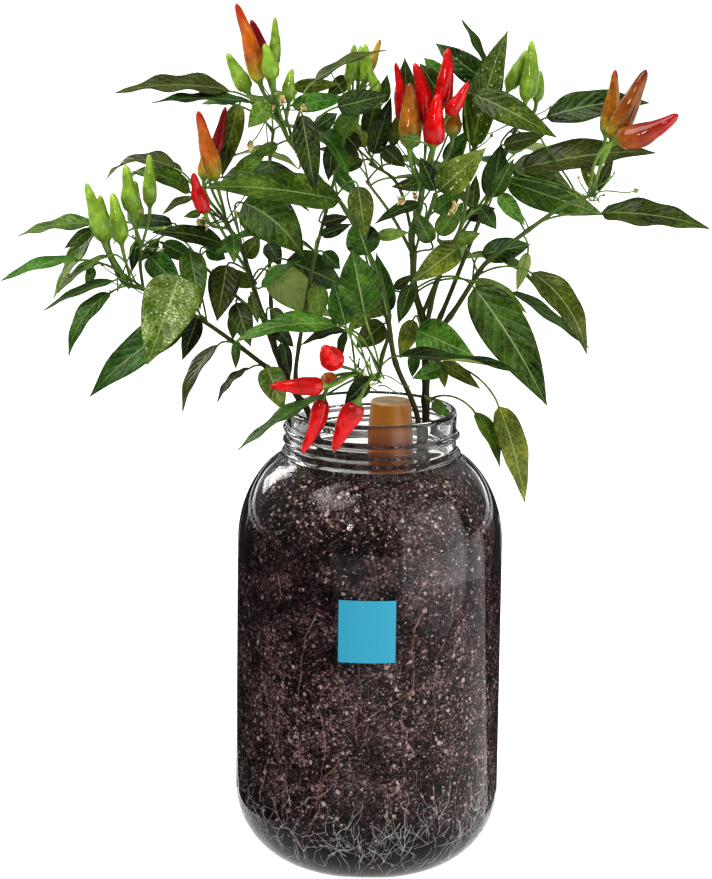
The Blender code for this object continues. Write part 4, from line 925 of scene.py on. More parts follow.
FLOWERS: dict[str, list[Flower]] = {
    "left": [
        Flower((-70, 313, 14), (-80, 313, 4), 4.5, True), Flower((-59, 289.5, 11), (-64, 317, -2), 3.0, True),
        Flower((-49.7, 338, 33), (-52, 368, 26), 3.4, True),
        Flower((-118.5, 284, -24), (-128, 292, -26), 2.4, False),
        Flower((-11, 371, 0), (-3, 377, -6), 2.4, False),
        Flower((-110, 303, -10), (-105, 300, -14), 2.0, False),
    ],
    "middle": [
        Flower((-47, 366, -24), (-58, 352, -30), 4.2, True),
        Flower((-47, 366, -24), (-44, 371, -40), 3.6, True),
        Flower((-47, 366, -24), (-35, 368, -36), 3.2, True),
        Flower((-47, 366, -24), (-38, 375, -36), 2.6, False),
    ],
    "right": [
        Flower((23, 337, 3), (13.7, 326.8, -6), 4.2, True),
        Flower((41.4, 315, 0), (37, 319.5, -8), 5.0, True),
        Flower((28.5, 328, -18), (36.7, 331.8, -22), 4.0, True),
        Flower((103.8, 329.5, -10), (122, 331, -16), 3.4, False),
        Flower((23, 337, 3), (19, 328, -8), 3.0, True), Flower((72.9, 312, 0), (66, 325, -6), 2.6, False),
        Flower((45, 347, -2), (54, 356, -8), 2.6, False),
    ],
}

FRONT_ROOTS: list[list[Flat]] = [
    [(-64.6, 142.2), (-69.6, 132.6), (-70.8, 121.0), (-69.8, 111.2), (-70.5, 102.5), (-77.8, 97.2),
     (-88.2, 90.6), (-97.3, 82.0)],
    [(-70.5, 102.5), (-74.1, 95.5), (-74.9, 88.2), (-72.5, 80.6)],
    [(-58.0, 113.2), (-60.3, 101.3), (-58.6, 88.7), (-61.4, 76.9)],
    [(-113.0, 139.4), (-119.2, 124.9), (-121.5, 105.0), (-122.9, 85.1), (-120.6, 65.8)],
    [(-135.2, 154.9), (-132.6, 146.7), (-134.0, 139.0)],
    [(-145.2, 105.5), (-140.5, 91.0), (-134.9, 72.6), (-131.6, 56.0)],
    [(-111.5, 90.9), (-109.0, 77.5), (-109.8, 65.1), (-112.0, 52.4), (-112.9, 42.4)],
]

FEET: dict[str, tuple[float, float]] = {"left": (-21, 2), "middle": (21.5, -11), "right": (25, 8)}


def seen(point: Sequence[float]) -> Vector:
    """Carry a point seen from the front along its sight line to its depth.

    Args:
        point: Across and up on the middle plane, and the depth behind it, in mm.

    Returns:
        The point in space, in mm.
    """
    across, up, depth = point
    on_plane = Vector((across, 0.0, up))
    return EYE + (on_plane - EYE) * (1.0 + depth / -EYE.y)


def smooth_path(points: Sequence[Vector], radii: tuple[float, float], step: float) -> Course:
    """Lead a smooth curve through points.

    Args:
        points: Points on the curve, in mm.
        radii: Radius at its start and its end.
        step: Rough distance between the points returned.

    Returns:
        Points along the curve, each with its radius.
    """
    ends = [points[0] * 2 - points[1], *points, points[-1] * 2 - points[-2]]
    lengths = [(b - a).length for a, b in zip(points, points[1:])]
    total = sum(lengths)
    path: Course = []
    gone = 0.0
    for i, length in enumerate(lengths):
        a, b, c, d = ends[i:i + 4]
        count = max(1, round(length / step))
        for k in range(count):
            t = k / count
            place = 0.5 * ((2 * b) + (c - a) * t + (2 * a - 5 * b + 4 * c - d) * t * t
                           + (3 * b - a - 3 * c + d) * t ** 3)
            path.append((place, radii[0] + (radii[1] - radii[0]) * (gone + length * t) / total))
        gone += length
    path.append((points[-1], radii[1]))
    return path


def stalk(root: Vector, end: Vector, heading: Vector, count: int) -> list[Vector]:
    """Bend a stalk from a stem to where it heads along a direction.

    Args:
        root: Where it leaves the stem.
        end: Where it ends.
        heading: Its direction there.
        count: How many points to return.

    Returns:
        Points from the root on, without the end.
    """
    reach = (end - root).length
    rise = ((end - root).normalized() + Vector((0.0, 0.0, 0.6))).normalized()
    lead_out = root + rise * reach * 0.35
    lead_in = end - heading * reach * 0.35
    points = []
    for i in range(count):
        t = i / count
        rest = 1.0 - t
        points.append(root * rest ** 3 + lead_out * 3 * rest * rest * t
                      + lead_in * 3 * rest * t * t + end * t ** 3)
    return points


def clear_selection() -> None:
    """Deselect every object."""
    bpy.ops.object.select_all(action="DESELECT")


def choose(obj: Piece) -> None:
    """Make an object the only selected one, and the active one.

    Args:
        obj: The object.
    """
    clear_selection()
    obj.select_set(True)
    bpy.context.view_layer.objects.active = obj


def closed_up(obj: Piece, merge: float = 1e-6) -> Piece:
    """Merge an object's doubles and turn its faces outwards.

    Args:
        obj: The object.
        merge: Distance within which points are merged, in metres.

    Returns:
        The same object.
    """
    choose(obj)
    bpy.ops.object.mode_set(mode="EDIT")
    bpy.ops.mesh.select_all(action="SELECT")
    bpy.ops.mesh.remove_doubles(threshold=merge)
    bpy.ops.mesh.normals_make_consistent(inside=False)
    bpy.ops.object.mode_set(mode="OBJECT")
    return obj


def smoothed(obj: Piece, degrees: float = 45.0) -> Piece:
    """Shade an object smooth.

    Args:
        obj: The object.
        degrees: Angle past which an edge stays sharp.

    Returns:
        The same object.
    """
    choose(obj)
    bpy.ops.object.shade_smooth_by_angle(angle=math.radians(degrees))
    return obj


def lathe(name: str, profile: Sequence[Flat], steps: int, across: float = 0.0, depth: float = 0.0) -> Piece:
    """Spin a profile about an upright line into a closed shape.

    Args:
        name: Name of the piece.
        profile: Radius and height of its points in mm.
        steps: Steps round the full turn.
        across: X of the line in mm.
        depth: Y of the line in mm.

    Returns:
        The closed piece.
    """
    clear_selection()
    bpy.ops.mesh.primitive_circle_add(vertices=len(profile), radius=MM)
    obj = bpy.context.object
    obj.name = name
    for vert, (radius, height) in zip(obj.data.vertices, profile):
        vert.co = Vector((across + radius, depth, height)) * MM
    bpy.ops.object.mode_set(mode="EDIT")
    bpy.ops.mesh.select_mode(type="EDGE")
    bpy.ops.mesh.select_all(action="DESELECT")
    bpy.ops.object.mode_set(mode="OBJECT")
    last = len(profile) - 1
    for edge in obj.data.edges:
        edge.select = set(edge.vertices) == {0, last}
    bpy.ops.object.mode_set(mode="EDIT")
    bpy.ops.mesh.delete(type="EDGE")
    bpy.ops.mesh.select_mode(type="VERT")
    bpy.ops.mesh.select_all(action="SELECT")
    bpy.ops.mesh.spin(steps=steps, angle=math.tau, center=(across * MM, depth * MM, 0.0),
                      axis=(0.0, 0.0, 1.0))
    bpy.ops.object.mode_set(mode="OBJECT")
    return closed_up(obj)


def tubes(name: str, courses: Iterable[Course], roundness: int = 3) -> Piece:
    """Sweep a circle along each of several courses, into one mesh.

    Args:
        name: Name of the piece.
        courses: Points with a radius each, in mm.
        roundness: Resolution of the circle.

    Returns:
        The piece, with its ends closed.
    """
    curve = bpy.data.curves.new(name, "CURVE")
    curve.dimensions = "3D"
    curve.bevel_depth = MM
    curve.bevel_resolution = roundness
    curve.use_fill_caps = True
    for course in courses:
        spline = curve.splines.new("POLY")
        spline.points.add(len(course) - 1)
        for point, (place, radius) in zip(spline.points, course):
            point.co = (*(place * MM), 1.0)
            point.radius = radius
    obj = bpy.data.objects.new(name, curve)
    bpy.context.scene.collection.objects.link(obj)
    choose(obj)
    bpy.ops.object.convert(target="MESH")
    return smoothed(closed_up(bpy.context.object), 60.0)


def copies(name: str, pattern: Piece, moulds: Iterable[Mould]) -> Piece:
    """Copy a pattern piece, shape each copy's own mesh, and join the copies.

    Args:
        name: Name of the joined piece.
        pattern: The piece that is copied.
        moulds: One function for each copy, which shapes its mesh.

    Returns:
        The joined piece.
    """
    made = []
    for mould in moulds:
        obj = bpy.data.objects.new(name, pattern.data.copy())
        bpy.context.scene.collection.objects.link(obj)
        mould(obj.data)
        made.append(obj)
    clear_selection()
    for obj in made:
        obj.select_set(True)
    bpy.context.view_layer.objects.active = made[0]
    bpy.ops.object.join()
    made[0].name = name
    made[0].data.name = name
    return made[0]


def discard(obj: Piece) -> None:
    """Remove a pattern piece that has been copied."""
    bpy.data.objects.remove(obj, do_unlink=True)


def finished(obj: Piece, slot: str, *finishes: Finish) -> None:
    """Dress a piece, fix it to the model and report it.

    Args:
        obj: The piece.
        slot: The record's material slot that its finish stands for. It is not used.
        finishes: Its finishes, in the order of its faces' material numbers.
    """
    numbers = [face.material_index for face in obj.data.polygons]
    obj.data.materials.clear()
    for finish in finishes:
        obj.data.materials.append(finish.material())
    obj.data.polygons.foreach_set("material_index", numbers)
    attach(obj, BODY)
    LOG.info("%s: %d faces", obj.name, len(obj.data.polygons))


@dataclass
class Jar:
    """Half-gallon glass jar with a wide threaded mouth and a big rounded heel."""

    body_r: float = 63.5
    neck_r: float = 41.0
    rim_z: float = 225.0
    shoulder_top_z: float = 202.5
    shoulder_foot_z: float = 160.0
    fullness: float = 0.66
    heel_z: float = 38.0
    base_r: float = 26.0
    wall: float = 3.2
    floor: float = 7.0
    inner_heel_z: float = 33.0
    inner_base_r: float = 32.0
    push_up: float = 3.0
    thread_turns: float = 1.9
    thread_top_z: float = 218.5
    thread_pitch: float = 5.8
    thread_height: float = 1.8
    thread_half: float = 1.7
    row: float = 0.5
    steps: int = 128

    def shoulder_r(self, z: float) -> float:
        """Find the outer radius of the shoulder.

        Args:
            z: Height.

        Returns:
            The radius there.
        """
        height = self.shoulder_top_z - self.shoulder_foot_z
        rise = min(1.0, max(0.0, (z - self.shoulder_foot_z) / height))
        return self.neck_r + (self.body_r - self.neck_r) * (1.0 - rise * rise) ** self.fullness

    def heel(self, base_r: float, body_r: float, floor_z: float, top_z: float, count: int) -> list[Flat]:
        """Lay out a rounded heel.

        Args:
            base_r: Radius where it meets the base.
            body_r: Radius where it meets the body.
            floor_z: Height of its foot.
            top_z: Height of its top.
            count: Steps round it.

        Returns:
            Radius and height of its points, from the body down to the base.
        """
        turns = [math.pi / 2 * i / count for i in range(count + 1)]
        return [(base_r + (body_r - base_r) * math.cos(a), top_z - (top_z - floor_z) * math.sin(a))
                for a in turns]

    def inside(self, top_z: float, slack: Callable[[float], float] = lambda z: 0.0,
               count: int = 20) -> list[Flat]:
        """Return points up the inside of the wall, each drawn back by the slack at its height.

        Args:
            top_z: Height at which the points end.
            slack: Distance from the glass at a height.
            count: Steps up the shoulder.

        Returns:
            Radius and height of the points, from the middle of the floor.
        """
        body = self.body_r - self.wall
        points = list(reversed(self.heel(self.inner_base_r, body, self.floor, self.inner_heel_z, 14)))
        low, high = self.inner_heel_z, self.shoulder_foot_z
        rows = [low + (high - low) * i / 8 for i in range(1, 8)]
        rows += [high + (top_z - high) * i / count for i in range(count + 1)]
        points += [(self.shoulder_r(z) - self.wall, z) for z in rows]
        lift = slack(self.floor)
        drawn = [(radius - slack(z), z + lift * max(0.0, 1.0 - (z - self.floor) / 4.0))
                 for radius, z in points]
        return [(0.0, self.floor + lift), *drawn]

    def profile(self) -> list[Flat]:
        """Lay out the wall's profile, up its inside and down its outside.

        Returns:
            Radius and height of its points, from the axis and back to it.
        """
        neck_in = self.neck_r - self.wall - 0.5
        neck_out = self.neck_r - 0.4
        points = self.inside(201.5)
        points += [(neck_in + 0.3, 203.2), (neck_in, 205.0), (neck_in, 212.0), (neck_in, 220.0),
                   (neck_in, 223.2), (neck_in + 0.25, 224.3), (neck_in + 0.9, 224.9),
                   (neck_in + 1.7, self.rim_z), (neck_out - 0.9, 224.8), (neck_out - 0.25, 224.2)]
        count = round((223.2 - 206.2) / self.row)
        points += [(neck_out, 223.2 - self.row * i) for i in range(count)]
        points += [(neck_out + 0.2, 205.9), (neck_out + 0.9, 205.4), (neck_out + 1.8, 204.9),
                   (neck_out + 2.25, 204.2), (neck_out + 2.3, 203.5), (neck_out + 2.0, 202.9),
                   (neck_out + 1.3, 202.5), (self.shoulder_r(201.9) + 0.2, 202.0)]
        rows = [201.5 - (201.5 - self.shoulder_foot_z) * i / 26 for i in range(27)]
        points += [(self.shoulder_r(z), z) for z in rows]
        points += [(self.body_r, z) for z in (140.0, 118.0, 96.0, 76.0, 58.0)]
        points += self.heel(self.base_r, self.body_r, 0.0, self.heel_z, 20)
        points += [(self.base_r * (1.0 - share), self.push_up * math.sin(math.pi / 2 * share) ** 1.5)
                   for share in (0.06, 0.15, 0.3, 0.5, 0.75, 1.0)]
        return points

    def thread_stand(self, turn: float, z: float) -> float:
        """Find how far the thread stands out of the neck.

        Args:
            turn: Angle round the neck.
            z: Height.

        Returns:
            How far it stands out there.
        """
        stand = 0.0
        for lap in range(2):
            gone = (turn - 0.05) / math.tau % 1.0 + lap
            if gone > self.thread_turns:
                continue
            offset = abs(z - (self.thread_top_z - self.thread_pitch * gone))
            fade = min(1.0, gone / 0.2, (self.thread_turns - gone) / 0.2)
            if offset < self.thread_half:
                swell = math.cos(math.pi / 2 * offset / self.thread_half) ** 1.4
                stand = max(stand, self.thread_height * fade * swell)
        return stand

    def build(self) -> None:
        """Spin the wall, raise its thread and dress it."""
        obj = lathe("jar_glass", self.profile(), self.steps)
        for vert in obj.data.vertices:
            radius = math.hypot(vert.co.x, vert.co.y) / MM
            height = vert.co.z / MM
            if self.neck_r - 1.0 < radius < self.neck_r and 206.0 < height < 222.0:
                stand = self.thread_stand(math.atan2(vert.co.y, vert.co.x) % math.tau, height)
                vert.co.x *= 1 + stand / radius
                vert.co.y *= 1 + stand / radius
        smoothed(obj, 60.0)
        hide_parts("glass_jar")
        finished(obj, "glass", SodaGlass())


@dataclass
class Soil:
    """Potting soil pressed against the glass, with crumbs on top, perlite and roots.

    It reaches a hair into the wall, because moist soil wets the glass and leaves no air there.
    It has shrunk off the floor and sunk away from the shoulder, where the glass stays clear.
    """

    jar: Jar
    top_z: float = 198.0
    crown: float = 2.0
    wetting: float = 0.2
    shoulder_slack: float = 4.5
    floor_slack: float = 0.7
    dry_z: float = 152.0
    wet_z: float = 10.5
    steps: int = 120
    crumb_count: int = 150
    perlite_count: int = 700
    fine_roots: int = 620
    long_roots: int = 13
    seed: int = 5

    def build(self) -> None:
        """Build the soil and all that lies in it."""
        rng = random.Random(self.seed)
        self.build_body()
        self.build_crumbs(rng)
        self.build_perlite(rng)
        self.build_roots(rng)

    def slack(self, z: float) -> float:
        """Find the soil's distance from the glass.

        Args:
            z: Height.

        Returns:
            The distance there, below 0 where the soil wets the glass.
        """
        if z > self.dry_z:
            rise = (z - self.dry_z) / (self.top_z - self.dry_z)
            return self.shoulder_slack * rise ** 1.3 - self.wetting
        if z < self.wet_z:
            return self.floor_slack * min(1.0, (self.wet_z - z) / 2.5) - self.wetting
        return -self.wetting

    def edge_r(self, z: float) -> float:
        """Find the soil's radius.

        Args:
            z: Height.

        Returns:
            The radius there.
        """
        if z >= self.jar.inner_heel_z:
            return self.jar.shoulder_r(z) - self.jar.wall - self.slack(z)
        base = self.jar.inner_base_r
        reach = self.jar.body_r - self.jar.wall - base
        drop = (self.jar.inner_heel_z - z) / (self.jar.inner_heel_z - self.jar.floor)
        return base + reach * math.sqrt(max(0.0, 1.0 - drop * drop)) - self.slack(z)

    def crown_z(self, radius: float) -> float:
        """Return the height of the soil's top at a radius."""
        return self.top_z + self.crown * (1.0 - (radius / self.edge_r(self.top_z)) ** 2)

    def build_body(self) -> None:
        """Spin the soil and roughen it with lumps."""
        rim = self.edge_r(self.top_z)
        profile = [(rim * i / 22, self.crown_z(rim * i / 22)) for i in range(23)]
        profile += reversed(self.jar.inside(self.top_z - 1.0, self.slack))
        obj = lathe("soil_body", profile, self.steps)
        for vert in obj.data.vertices:
            place = vert.co / MM
            radius = math.hypot(place.x, place.y)
            lump = noise.noise(place / 7.0) + 0.5 * noise.noise(place / 2.8)
            if place.z > self.top_z + 0.05:
                vert.co.z += (1.1 * lump - 0.4) * MM
        smoothed(obj, 70.0)
        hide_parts("soil")
        finished(obj, "soil", PottingSoil())

    def scatter(self, name: str, moulds: Sequence[Mould], finish: Finish) -> None:
        """Scatter copies of a small uneven lump and dress them.

        Args:
            name: Name of the joined copies.
            moulds: One function for each copy, which sets its size and place.
            finish: What the lumps are made of.
        """
        clear_selection()
        bpy.ops.mesh.primitive_uv_sphere_add(segments=6, ring_count=5, radius=MM)
        lump = bpy.context.object
        for vert in lump.data.vertices:
            vert.co *= 1.0 + 0.7 * noise.noise(vert.co / MM * 1.6 + Vector((3.1, 0.4, 7.7)))
        obj = copies(name, smoothed(lump, 180.0), moulds)
        discard(lump)
        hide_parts("soil")
        finished(obj, "soil", finish)

    def placed(self, place: Vector, radius: float, squash: float, turn: float) -> Mould:
        """Set a copy of a lump at its size and place.

        Args:
            place: Its place.
            radius: Its radius.
            squash: Its height as a share of its width.
            turn: How far it is turned.

        Returns:
            The function that sets the copy.
        """
        frame = (Matrix.Translation(place * MM) @ Matrix.Rotation(turn, 4, (0.4, 0.7, 0.6))
                 @ Matrix.Diagonal((radius, radius * squash, radius, 1.0)))
        return lambda mesh: mesh.transform(frame)

    def build_crumbs(self, rng: random.Random) -> None:
        """Scatter crumbs over the top of the soil.

        Args:
            rng: Source of their places, sizes and turns.
        """
        moulds = []
        for _ in range(self.crumb_count):
            radius = (self.edge_r(self.top_z) - 3.0) * math.sqrt(rng.random())
            turn = rng.uniform(0, math.tau)
            size = rng.choice((0.8, 1.1, 1.5, 2.2))
            place = Vector((radius * math.cos(turn), radius * math.sin(turn), self.crown_z(radius) - 0.2))
            moulds.append(self.placed(place, size, rng.uniform(0.6, 1.0), rng.uniform(0, math.tau)))
        self.scatter("soil_crumbs", moulds, CRUMB)

    def build_perlite(self, rng: random.Random) -> None:
        """Press perlite into the soil where it shows behind the glass and on top.

        Args:
            rng: Source of its places, sizes and turns.
        """
        moulds = []
        for _ in range(self.perlite_count):
            z = rng.triangular(168, 198, 190) if rng.random() < 0.4 else rng.triangular(34, 150, 70)
            turn = rng.uniform(0, math.tau)
            size = rng.choice((0.3, 0.4, 0.5, 0.6, 0.8, 1.1))
            if z > self.top_z - 1.0:
                radius = (self.edge_r(self.top_z) - 2.0) * math.sqrt(rng.random())
                z = self.crown_z(radius) + size * 0.3
            else:
                radius = self.edge_r(z) - size * 0.55
            place = Vector((radius * math.cos(turn), radius * math.sin(turn), z))
            moulds.append(self.placed(place, size, rng.uniform(0.6, 0.95), rng.uniform(0, math.tau)))
        self.scatter("perlite_grains", moulds, PERLITE)

    def root_course(self, rng: random.Random, turn: float, z: float, length: float,
                    radius: float, drop: float) -> Course:
        """Lead a root along the inside of the glass.

        Args:
            rng: Source of the root's wander.
            turn: Angle at which it starts.
            z: Height at which it starts.
            length: Its length.
            radius: Its thickest radius.
            drop: Slope at which it starts, downwards.

        Returns:
            Its points, each with a radius.
        """
        course: Course = []
        slope = drop
        count = max(6, round(length / 2.5))
        for i in range(count):
            z = max(self.jar.floor + 1.5, min(188.0, z))
            reach = self.edge_r(z) - radius * 0.2
            course.append((Vector((reach * math.cos(turn), reach * math.sin(turn), z)),
                           radius * (1.0 - 0.6 * i / count)))
            slope += rng.uniform(-0.55, 0.55) + (drop - slope) * 0.25
            turn += math.cos(slope) * length / count / reach
            z -= math.sin(slope) * length / count
        return course

    def traced_root(self, points: Sequence[Flat], rng: random.Random) -> Course:
        """Lead a root behind the glass through points.

        Args:
            points: Angle in degrees and height in mm of each.
            rng: Source of its small kinks.

        Returns:
            Its points, each with a radius.
        """
        flat = [Vector((math.radians(turn), z / self.jar.body_r, 0.0)) for turn, z in points]
        course: Course = []
        for place, radius in smooth_path(flat, (0.36, 0.17), 0.035):
            z = place.y * self.jar.body_r + rng.uniform(-0.25, 0.25)
            turn = place.x + rng.uniform(-0.006, 0.006)
            reach = self.edge_r(z) - radius * 0.2
            course.append((Vector((reach * math.cos(turn), reach * math.sin(turn), z)), radius))
        return course

    def build_roots(self, rng: random.Random) -> None:
        """Mat fine pale roots round the bottom and let a few red ones wander higher up.

        Args:
            rng: Source of their places, lengths, sizes and slopes.
        """
        fine = []
        for _ in range(self.fine_roots):
            z = rng.triangular(9, 54, 20)
            fine.append(self.root_course(rng, rng.uniform(0, math.tau), z, rng.uniform(8, 26),
                                         rng.choice((0.08, 0.1, 0.13, 0.18)),
                                         rng.choice((-1.0, 1.0)) * rng.gauss(1.4, 0.7)))
        long = [self.traced_root(points, rng) for points in FRONT_ROOTS]
        for _ in range(self.long_roots):
            long.append(self.root_course(rng, rng.uniform(0, math.tau), rng.uniform(60, 150),
                                         rng.uniform(40, 100), rng.uniform(0.18, 0.32),
                                         rng.gauss(1.5, 0.3)))
        for name, courses, finish in (("pale_roots", fine, PALE_ROOT), ("red_roots", long, RED_ROOT)):
            obj = tubes(name, courses, 1)
            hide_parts("soil")
            finished(obj, "soil", finish)


@dataclass
class Plug:
    """Amber plug that stands in the soil."""

    across: float = 9.0
    depth: float = -4.0
    top_z: float = 230.0
    step_z: float = 214.0
    foot_z: float = 162.0
    top_r: float = 9.5
    radius: float = 10.7
    edge: float = 1.2

    def build(self) -> None:
        """Spin the plug, round its top edge and dress its cap."""
        profile = [(0.0, self.top_z - 0.25), (self.top_r - 2.4, self.top_z - 0.25),
                   (self.top_r - 1.9, self.top_z), (self.top_r, self.top_z),
                   (self.radius, self.step_z), (self.radius, self.foot_z), (0.0, self.foot_z)]
        obj = lathe("plug_amber", profile, 72, self.across, self.depth)
        choose(obj)
        bevel = obj.modifiers.new("rounded edges", "BEVEL")
        bevel.width = self.edge * MM
        bevel.segments = 4
        bevel.limit_method = "ANGLE"
        bevel.angle_limit = math.radians(35)
        bpy.ops.object.modifier_apply(modifier=bevel.name)
        smoothed(obj, 50.0)
        for face in obj.data.polygons:
            face.material_index = int(face.center.z > (self.top_z - self.edge * 0.9) * MM)
        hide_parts("amber_plug")
        finished(obj, "plug", AmberResin(), PLUG_CAP)


@dataclass
class Plant:
    """One chilli plant: its stems, leaves, pod stalks and pods."""

    name: str
    slimmest: float = 3.2
    fold: float = 0.24
    rise: float = 0.56
    fall: float = 1.08
    slim: float = 0.76
    petiole_r: float = 0.52
    root_spacing: float = 1.7
    calyx: float = 2.4
    gap: float = 0.3
    blade_mm: float = 0.45
    knuckle: float = 0.24
    knuckle_mm: float = 2.4
    foot_zs: tuple[float, ...] = (186.0, 194.0)
    course_step: float = 2.5
    bare_stalks: int = 7
    far_length: tuple[float, float] = (40.0, 54.0)
    far_arch: float = 0.14
    far_slimness: float = 2.9
    far_arc: float = 260.0
    golden_turn: float = 137.5
    seed: int = 11

    def build(self, blade: Piece, pod: Piece) -> None:
        """Build the plant's pieces.

        Args:
            blade: Pattern of a leaf's blade.
            pod: Pattern of a pod.
        """
        rng = random.Random(self.name)
        courses = [self.stem_course(i) for i in range(len(STEMS[self.name]))]
        self.fix(tubes(f"{self.name}_stems", courses), "foliage", StemSkin())
        moulds, stalks = self.leaves(rng)
        leaves = copies(f"{self.name}_leaves", blade, moulds)
        self.thicken(leaves)
        self.fix(leaves, "foliage", LeafUpperSide(), LeafUnderSide())
        self.fix(tubes(f"{self.name}_leaf_stalks", stalks, 2), "foliage", PETIOLE)
        self.build_flowers(blade, pod)
        pods = [pod_row for spray in SPRAYS[self.name] for pod_row in self.rooted_pods(spray)]
        pedicels = [self.pedicel(root, row) for root, row in pods]
        self.fix(tubes(f"{self.name}_pod_stalks", pedicels), "green", POD_STALK)
        for number, (_, row) in enumerate(pods, 1):
            self.build_pod(pod, row, number, rng)

    def fix(self, obj: Piece, slot: str, *finishes: Finish) -> None:
        """Let a piece stand for the plant's node of stems and leaves, and dress it."""
        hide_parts(f"{self.name}_leafy_stem")
        finished(obj, slot, *finishes)

    def stem_course(self, index: int) -> Course:
        """Lead a stem through its points, with a knuckle at each.

        Args:
            index: The stem's number in the plant.

        Returns:
            Its points, each with a radius.
        """
        stem = STEMS[self.name][index]
        places = [seen(point) for point in stem.points]
        joints = list(places[1:])
        if index == 0:
            across, depth = FEET[self.name]
            places = [*(Vector((across, depth, z)) for z in self.foot_zs), *places]
        course: Course = []
        for place, radius in smooth_path(places, stem.radii, self.course_step):
            nearest = min((place - joint).length for joint in joints)
            swell = 1.0 + self.knuckle * math.exp(-(nearest / self.knuckle_mm) ** 2)
            course.append((place, radius * self.slim * swell))
        return course

    def roots(self, at: Point, count: int) -> list[Vector]:
        """Find where stalks leave a stem, from a stem point downwards.

        Args:
            at: The stem point.
            count: How many stalks there are.

        Returns:
            A point in space for each.
        """
        top = seen(at)
        for stem in STEMS[self.name]:
            points = list(stem.points)
            if at in points[1:]:
                down = (seen(points[points.index(at) - 1]) - top).normalized()
                return [top + down * (0.6 + self.root_spacing * i) for i in range(count)]
        return [top] * count

    def blade_frame(self, base: Vector, tip: Vector, width: float) -> tuple[Vector, Vector, float]:
        """Turn a blade so that it looks as wide as given from the front.

        Args:
            base: Where the blade starts.
            tip: Where it ends.
            width: Its width as seen.

        Returns:
            Its side and face directions and its true width.
        """
        axis = (tip - base).normalized()
        sight = ((base + tip) / 2 - EYE).normalized()
        across = axis.cross(sight).normalized()
        true_width = max(width, (tip - base).length / self.slimmest)
        turn = math.acos(min(1.0, width / true_width))
        options = []
        for way in (turn, -turn):
            side = Matrix.Rotation(way, 3, axis) @ across
            for sign in (1, -1):
                face = (side * sign).cross(axis)
                options.append((face.z - 0.5 * face.dot(sight), side * sign, face))
        _, side, face = max(options, key=lambda option: option[0])
        return side, face, true_width

    def half_width(self, t: float, width: float) -> float:
        """Find half the width of a blade.

        Args:
            t: Share of its length, from its base.
            width: Its greatest width.

        Returns:
            Half its width there.
        """
        peak_t = self.rise / (self.rise + self.fall)
        peak = peak_t ** self.rise * (1 - peak_t) ** self.fall
        return max(0.12, t ** self.rise * (1 - t) ** self.fall / peak * width / 2)

    def far_leaf(self, root: Vector, facing: float, rng: random.Random,
                 index: int) -> tuple[Vector, Vector, Vector, Vector, float]:
        """Place a leaf of a far spray.

        Args:
            root: Its stem point.
            facing: The way the spray faces, in degrees.
            rng: Source of its turn, lift and length.
            index: Its number in the spray.

        Returns:
            Its base, tip, side direction, face direction and width.
        """
        swing = (index * self.golden_turn) % self.far_arc - self.far_arc / 2
        turn = math.radians(facing + swing + rng.uniform(-12, 12))
        lift = rng.uniform(-0.1, 0.55)
        out = Vector((math.cos(turn), math.sin(turn), lift)).normalized()
        base = root + out * rng.uniform(12, 18) + Vector((0, 0, rng.uniform(2, 8)))
        length = rng.uniform(*self.far_length)
        droop = Vector((0, 0, -0.35 - 0.5 * lift))
        tip = base + (out + droop).normalized() * length
        axis = (tip - base).normalized()
        side = axis.cross(Vector((0, 0, 1))).normalized()
        side = Matrix.Rotation(rng.uniform(-0.5, 0.5), 3, axis) @ side
        return base, tip, side, side.cross(axis), length / self.far_slimness

    def leaves(self, rng: random.Random) -> tuple[list[Mould], list[Course]]:
        """Lay out every leaf of the plant.

        Args:
            rng: Source of waves, twists and tones.

        Returns:
            The functions that shape its blades, and the courses of its petioles and midribs.
        """
        made = []
        for spray in SPRAYS[self.name]:
            roots = self.roots(spray.at, len(spray.pods) + len(spray.leaves))[len(spray.pods):]
            for leaf, root in zip(spray.leaves, roots):
                base = seen((leaf.x0, leaf.z0, leaf.depth))
                tip = seen((leaf.x1, leaf.z1, leaf.depth + leaf.run))
                side, face, width = self.blade_frame(base, tip, leaf.width)
                if leaf.under:
                    side, face = -side, -face
                arch = -leaf.arch if leaf.under else leaf.arch
                made.append(self.blade(root, base, tip, side, face, width, arch, leaf.bend, rng, leaf))
        far_rng = random.Random(self.seed)
        for spray in FAR_SPRAYS[self.name]:
            for i, root in enumerate(self.roots(spray.at, spray.count)):
                frame = self.far_leaf(seen(spray.at), spray.facing, far_rng, i)
                made.append(self.blade(root, *frame, self.far_arch, 0.0, rng))
        return [mould for mould, _ in made], [course for _, course in made]

    def blade(self, root: Vector, base: Vector, tip: Vector, side: Vector, face: Vector, width: float,
              arch: float, bend: float, rng: random.Random,
              row: Leaf | None = None) -> tuple[Mould, Course]:
        """Shape one leaf: a folded, waved and twisted blade on its petiole.

        Args:
            root: Where its petiole leaves the stem.
            base: Where the blade starts.
            tip: Where it ends.
            side: Direction across it.
            face: Direction out of its upper side.
            width: Its width.
            arch: Height of its arch as a share of its length.
            bend: Its bend upwards in the view, as a share of its length.
            rng: Source of its wave, twist, tone and warmth.
            row: The leaf's own row, where it has one.

        Returns:
            The function that shapes a copy of the flat blade, and the course of its stalk.
        """
        span = tip - base
        across = span.cross((base + tip) / 2 - EYE).normalized()
        swing = across if across.z > 0 else -across
        bulge = (face * arch + swing * bend) * (span.length * 4)
        wave = rng.uniform(0.05, 0.15) * width / 2
        laps = rng.uniform(1.6, 2.8)
        phase = rng.uniform(0, math.tau)
        twist = rng.uniform(-0.25, 0.25)
        shades = {"tone": rng.uniform(0.0, 0.75), "warmth": rng.random(),
                  "dust_and_glints": row.dust_and_glints if row else 0.0}
        if row and row.tone >= 0.0:
            shades["tone"] = row.tone
        if row and row.warmth >= 0.0:
            shades["warmth"] = row.warmth
        curl = rng.uniform(0.0, 0.05) * span.length

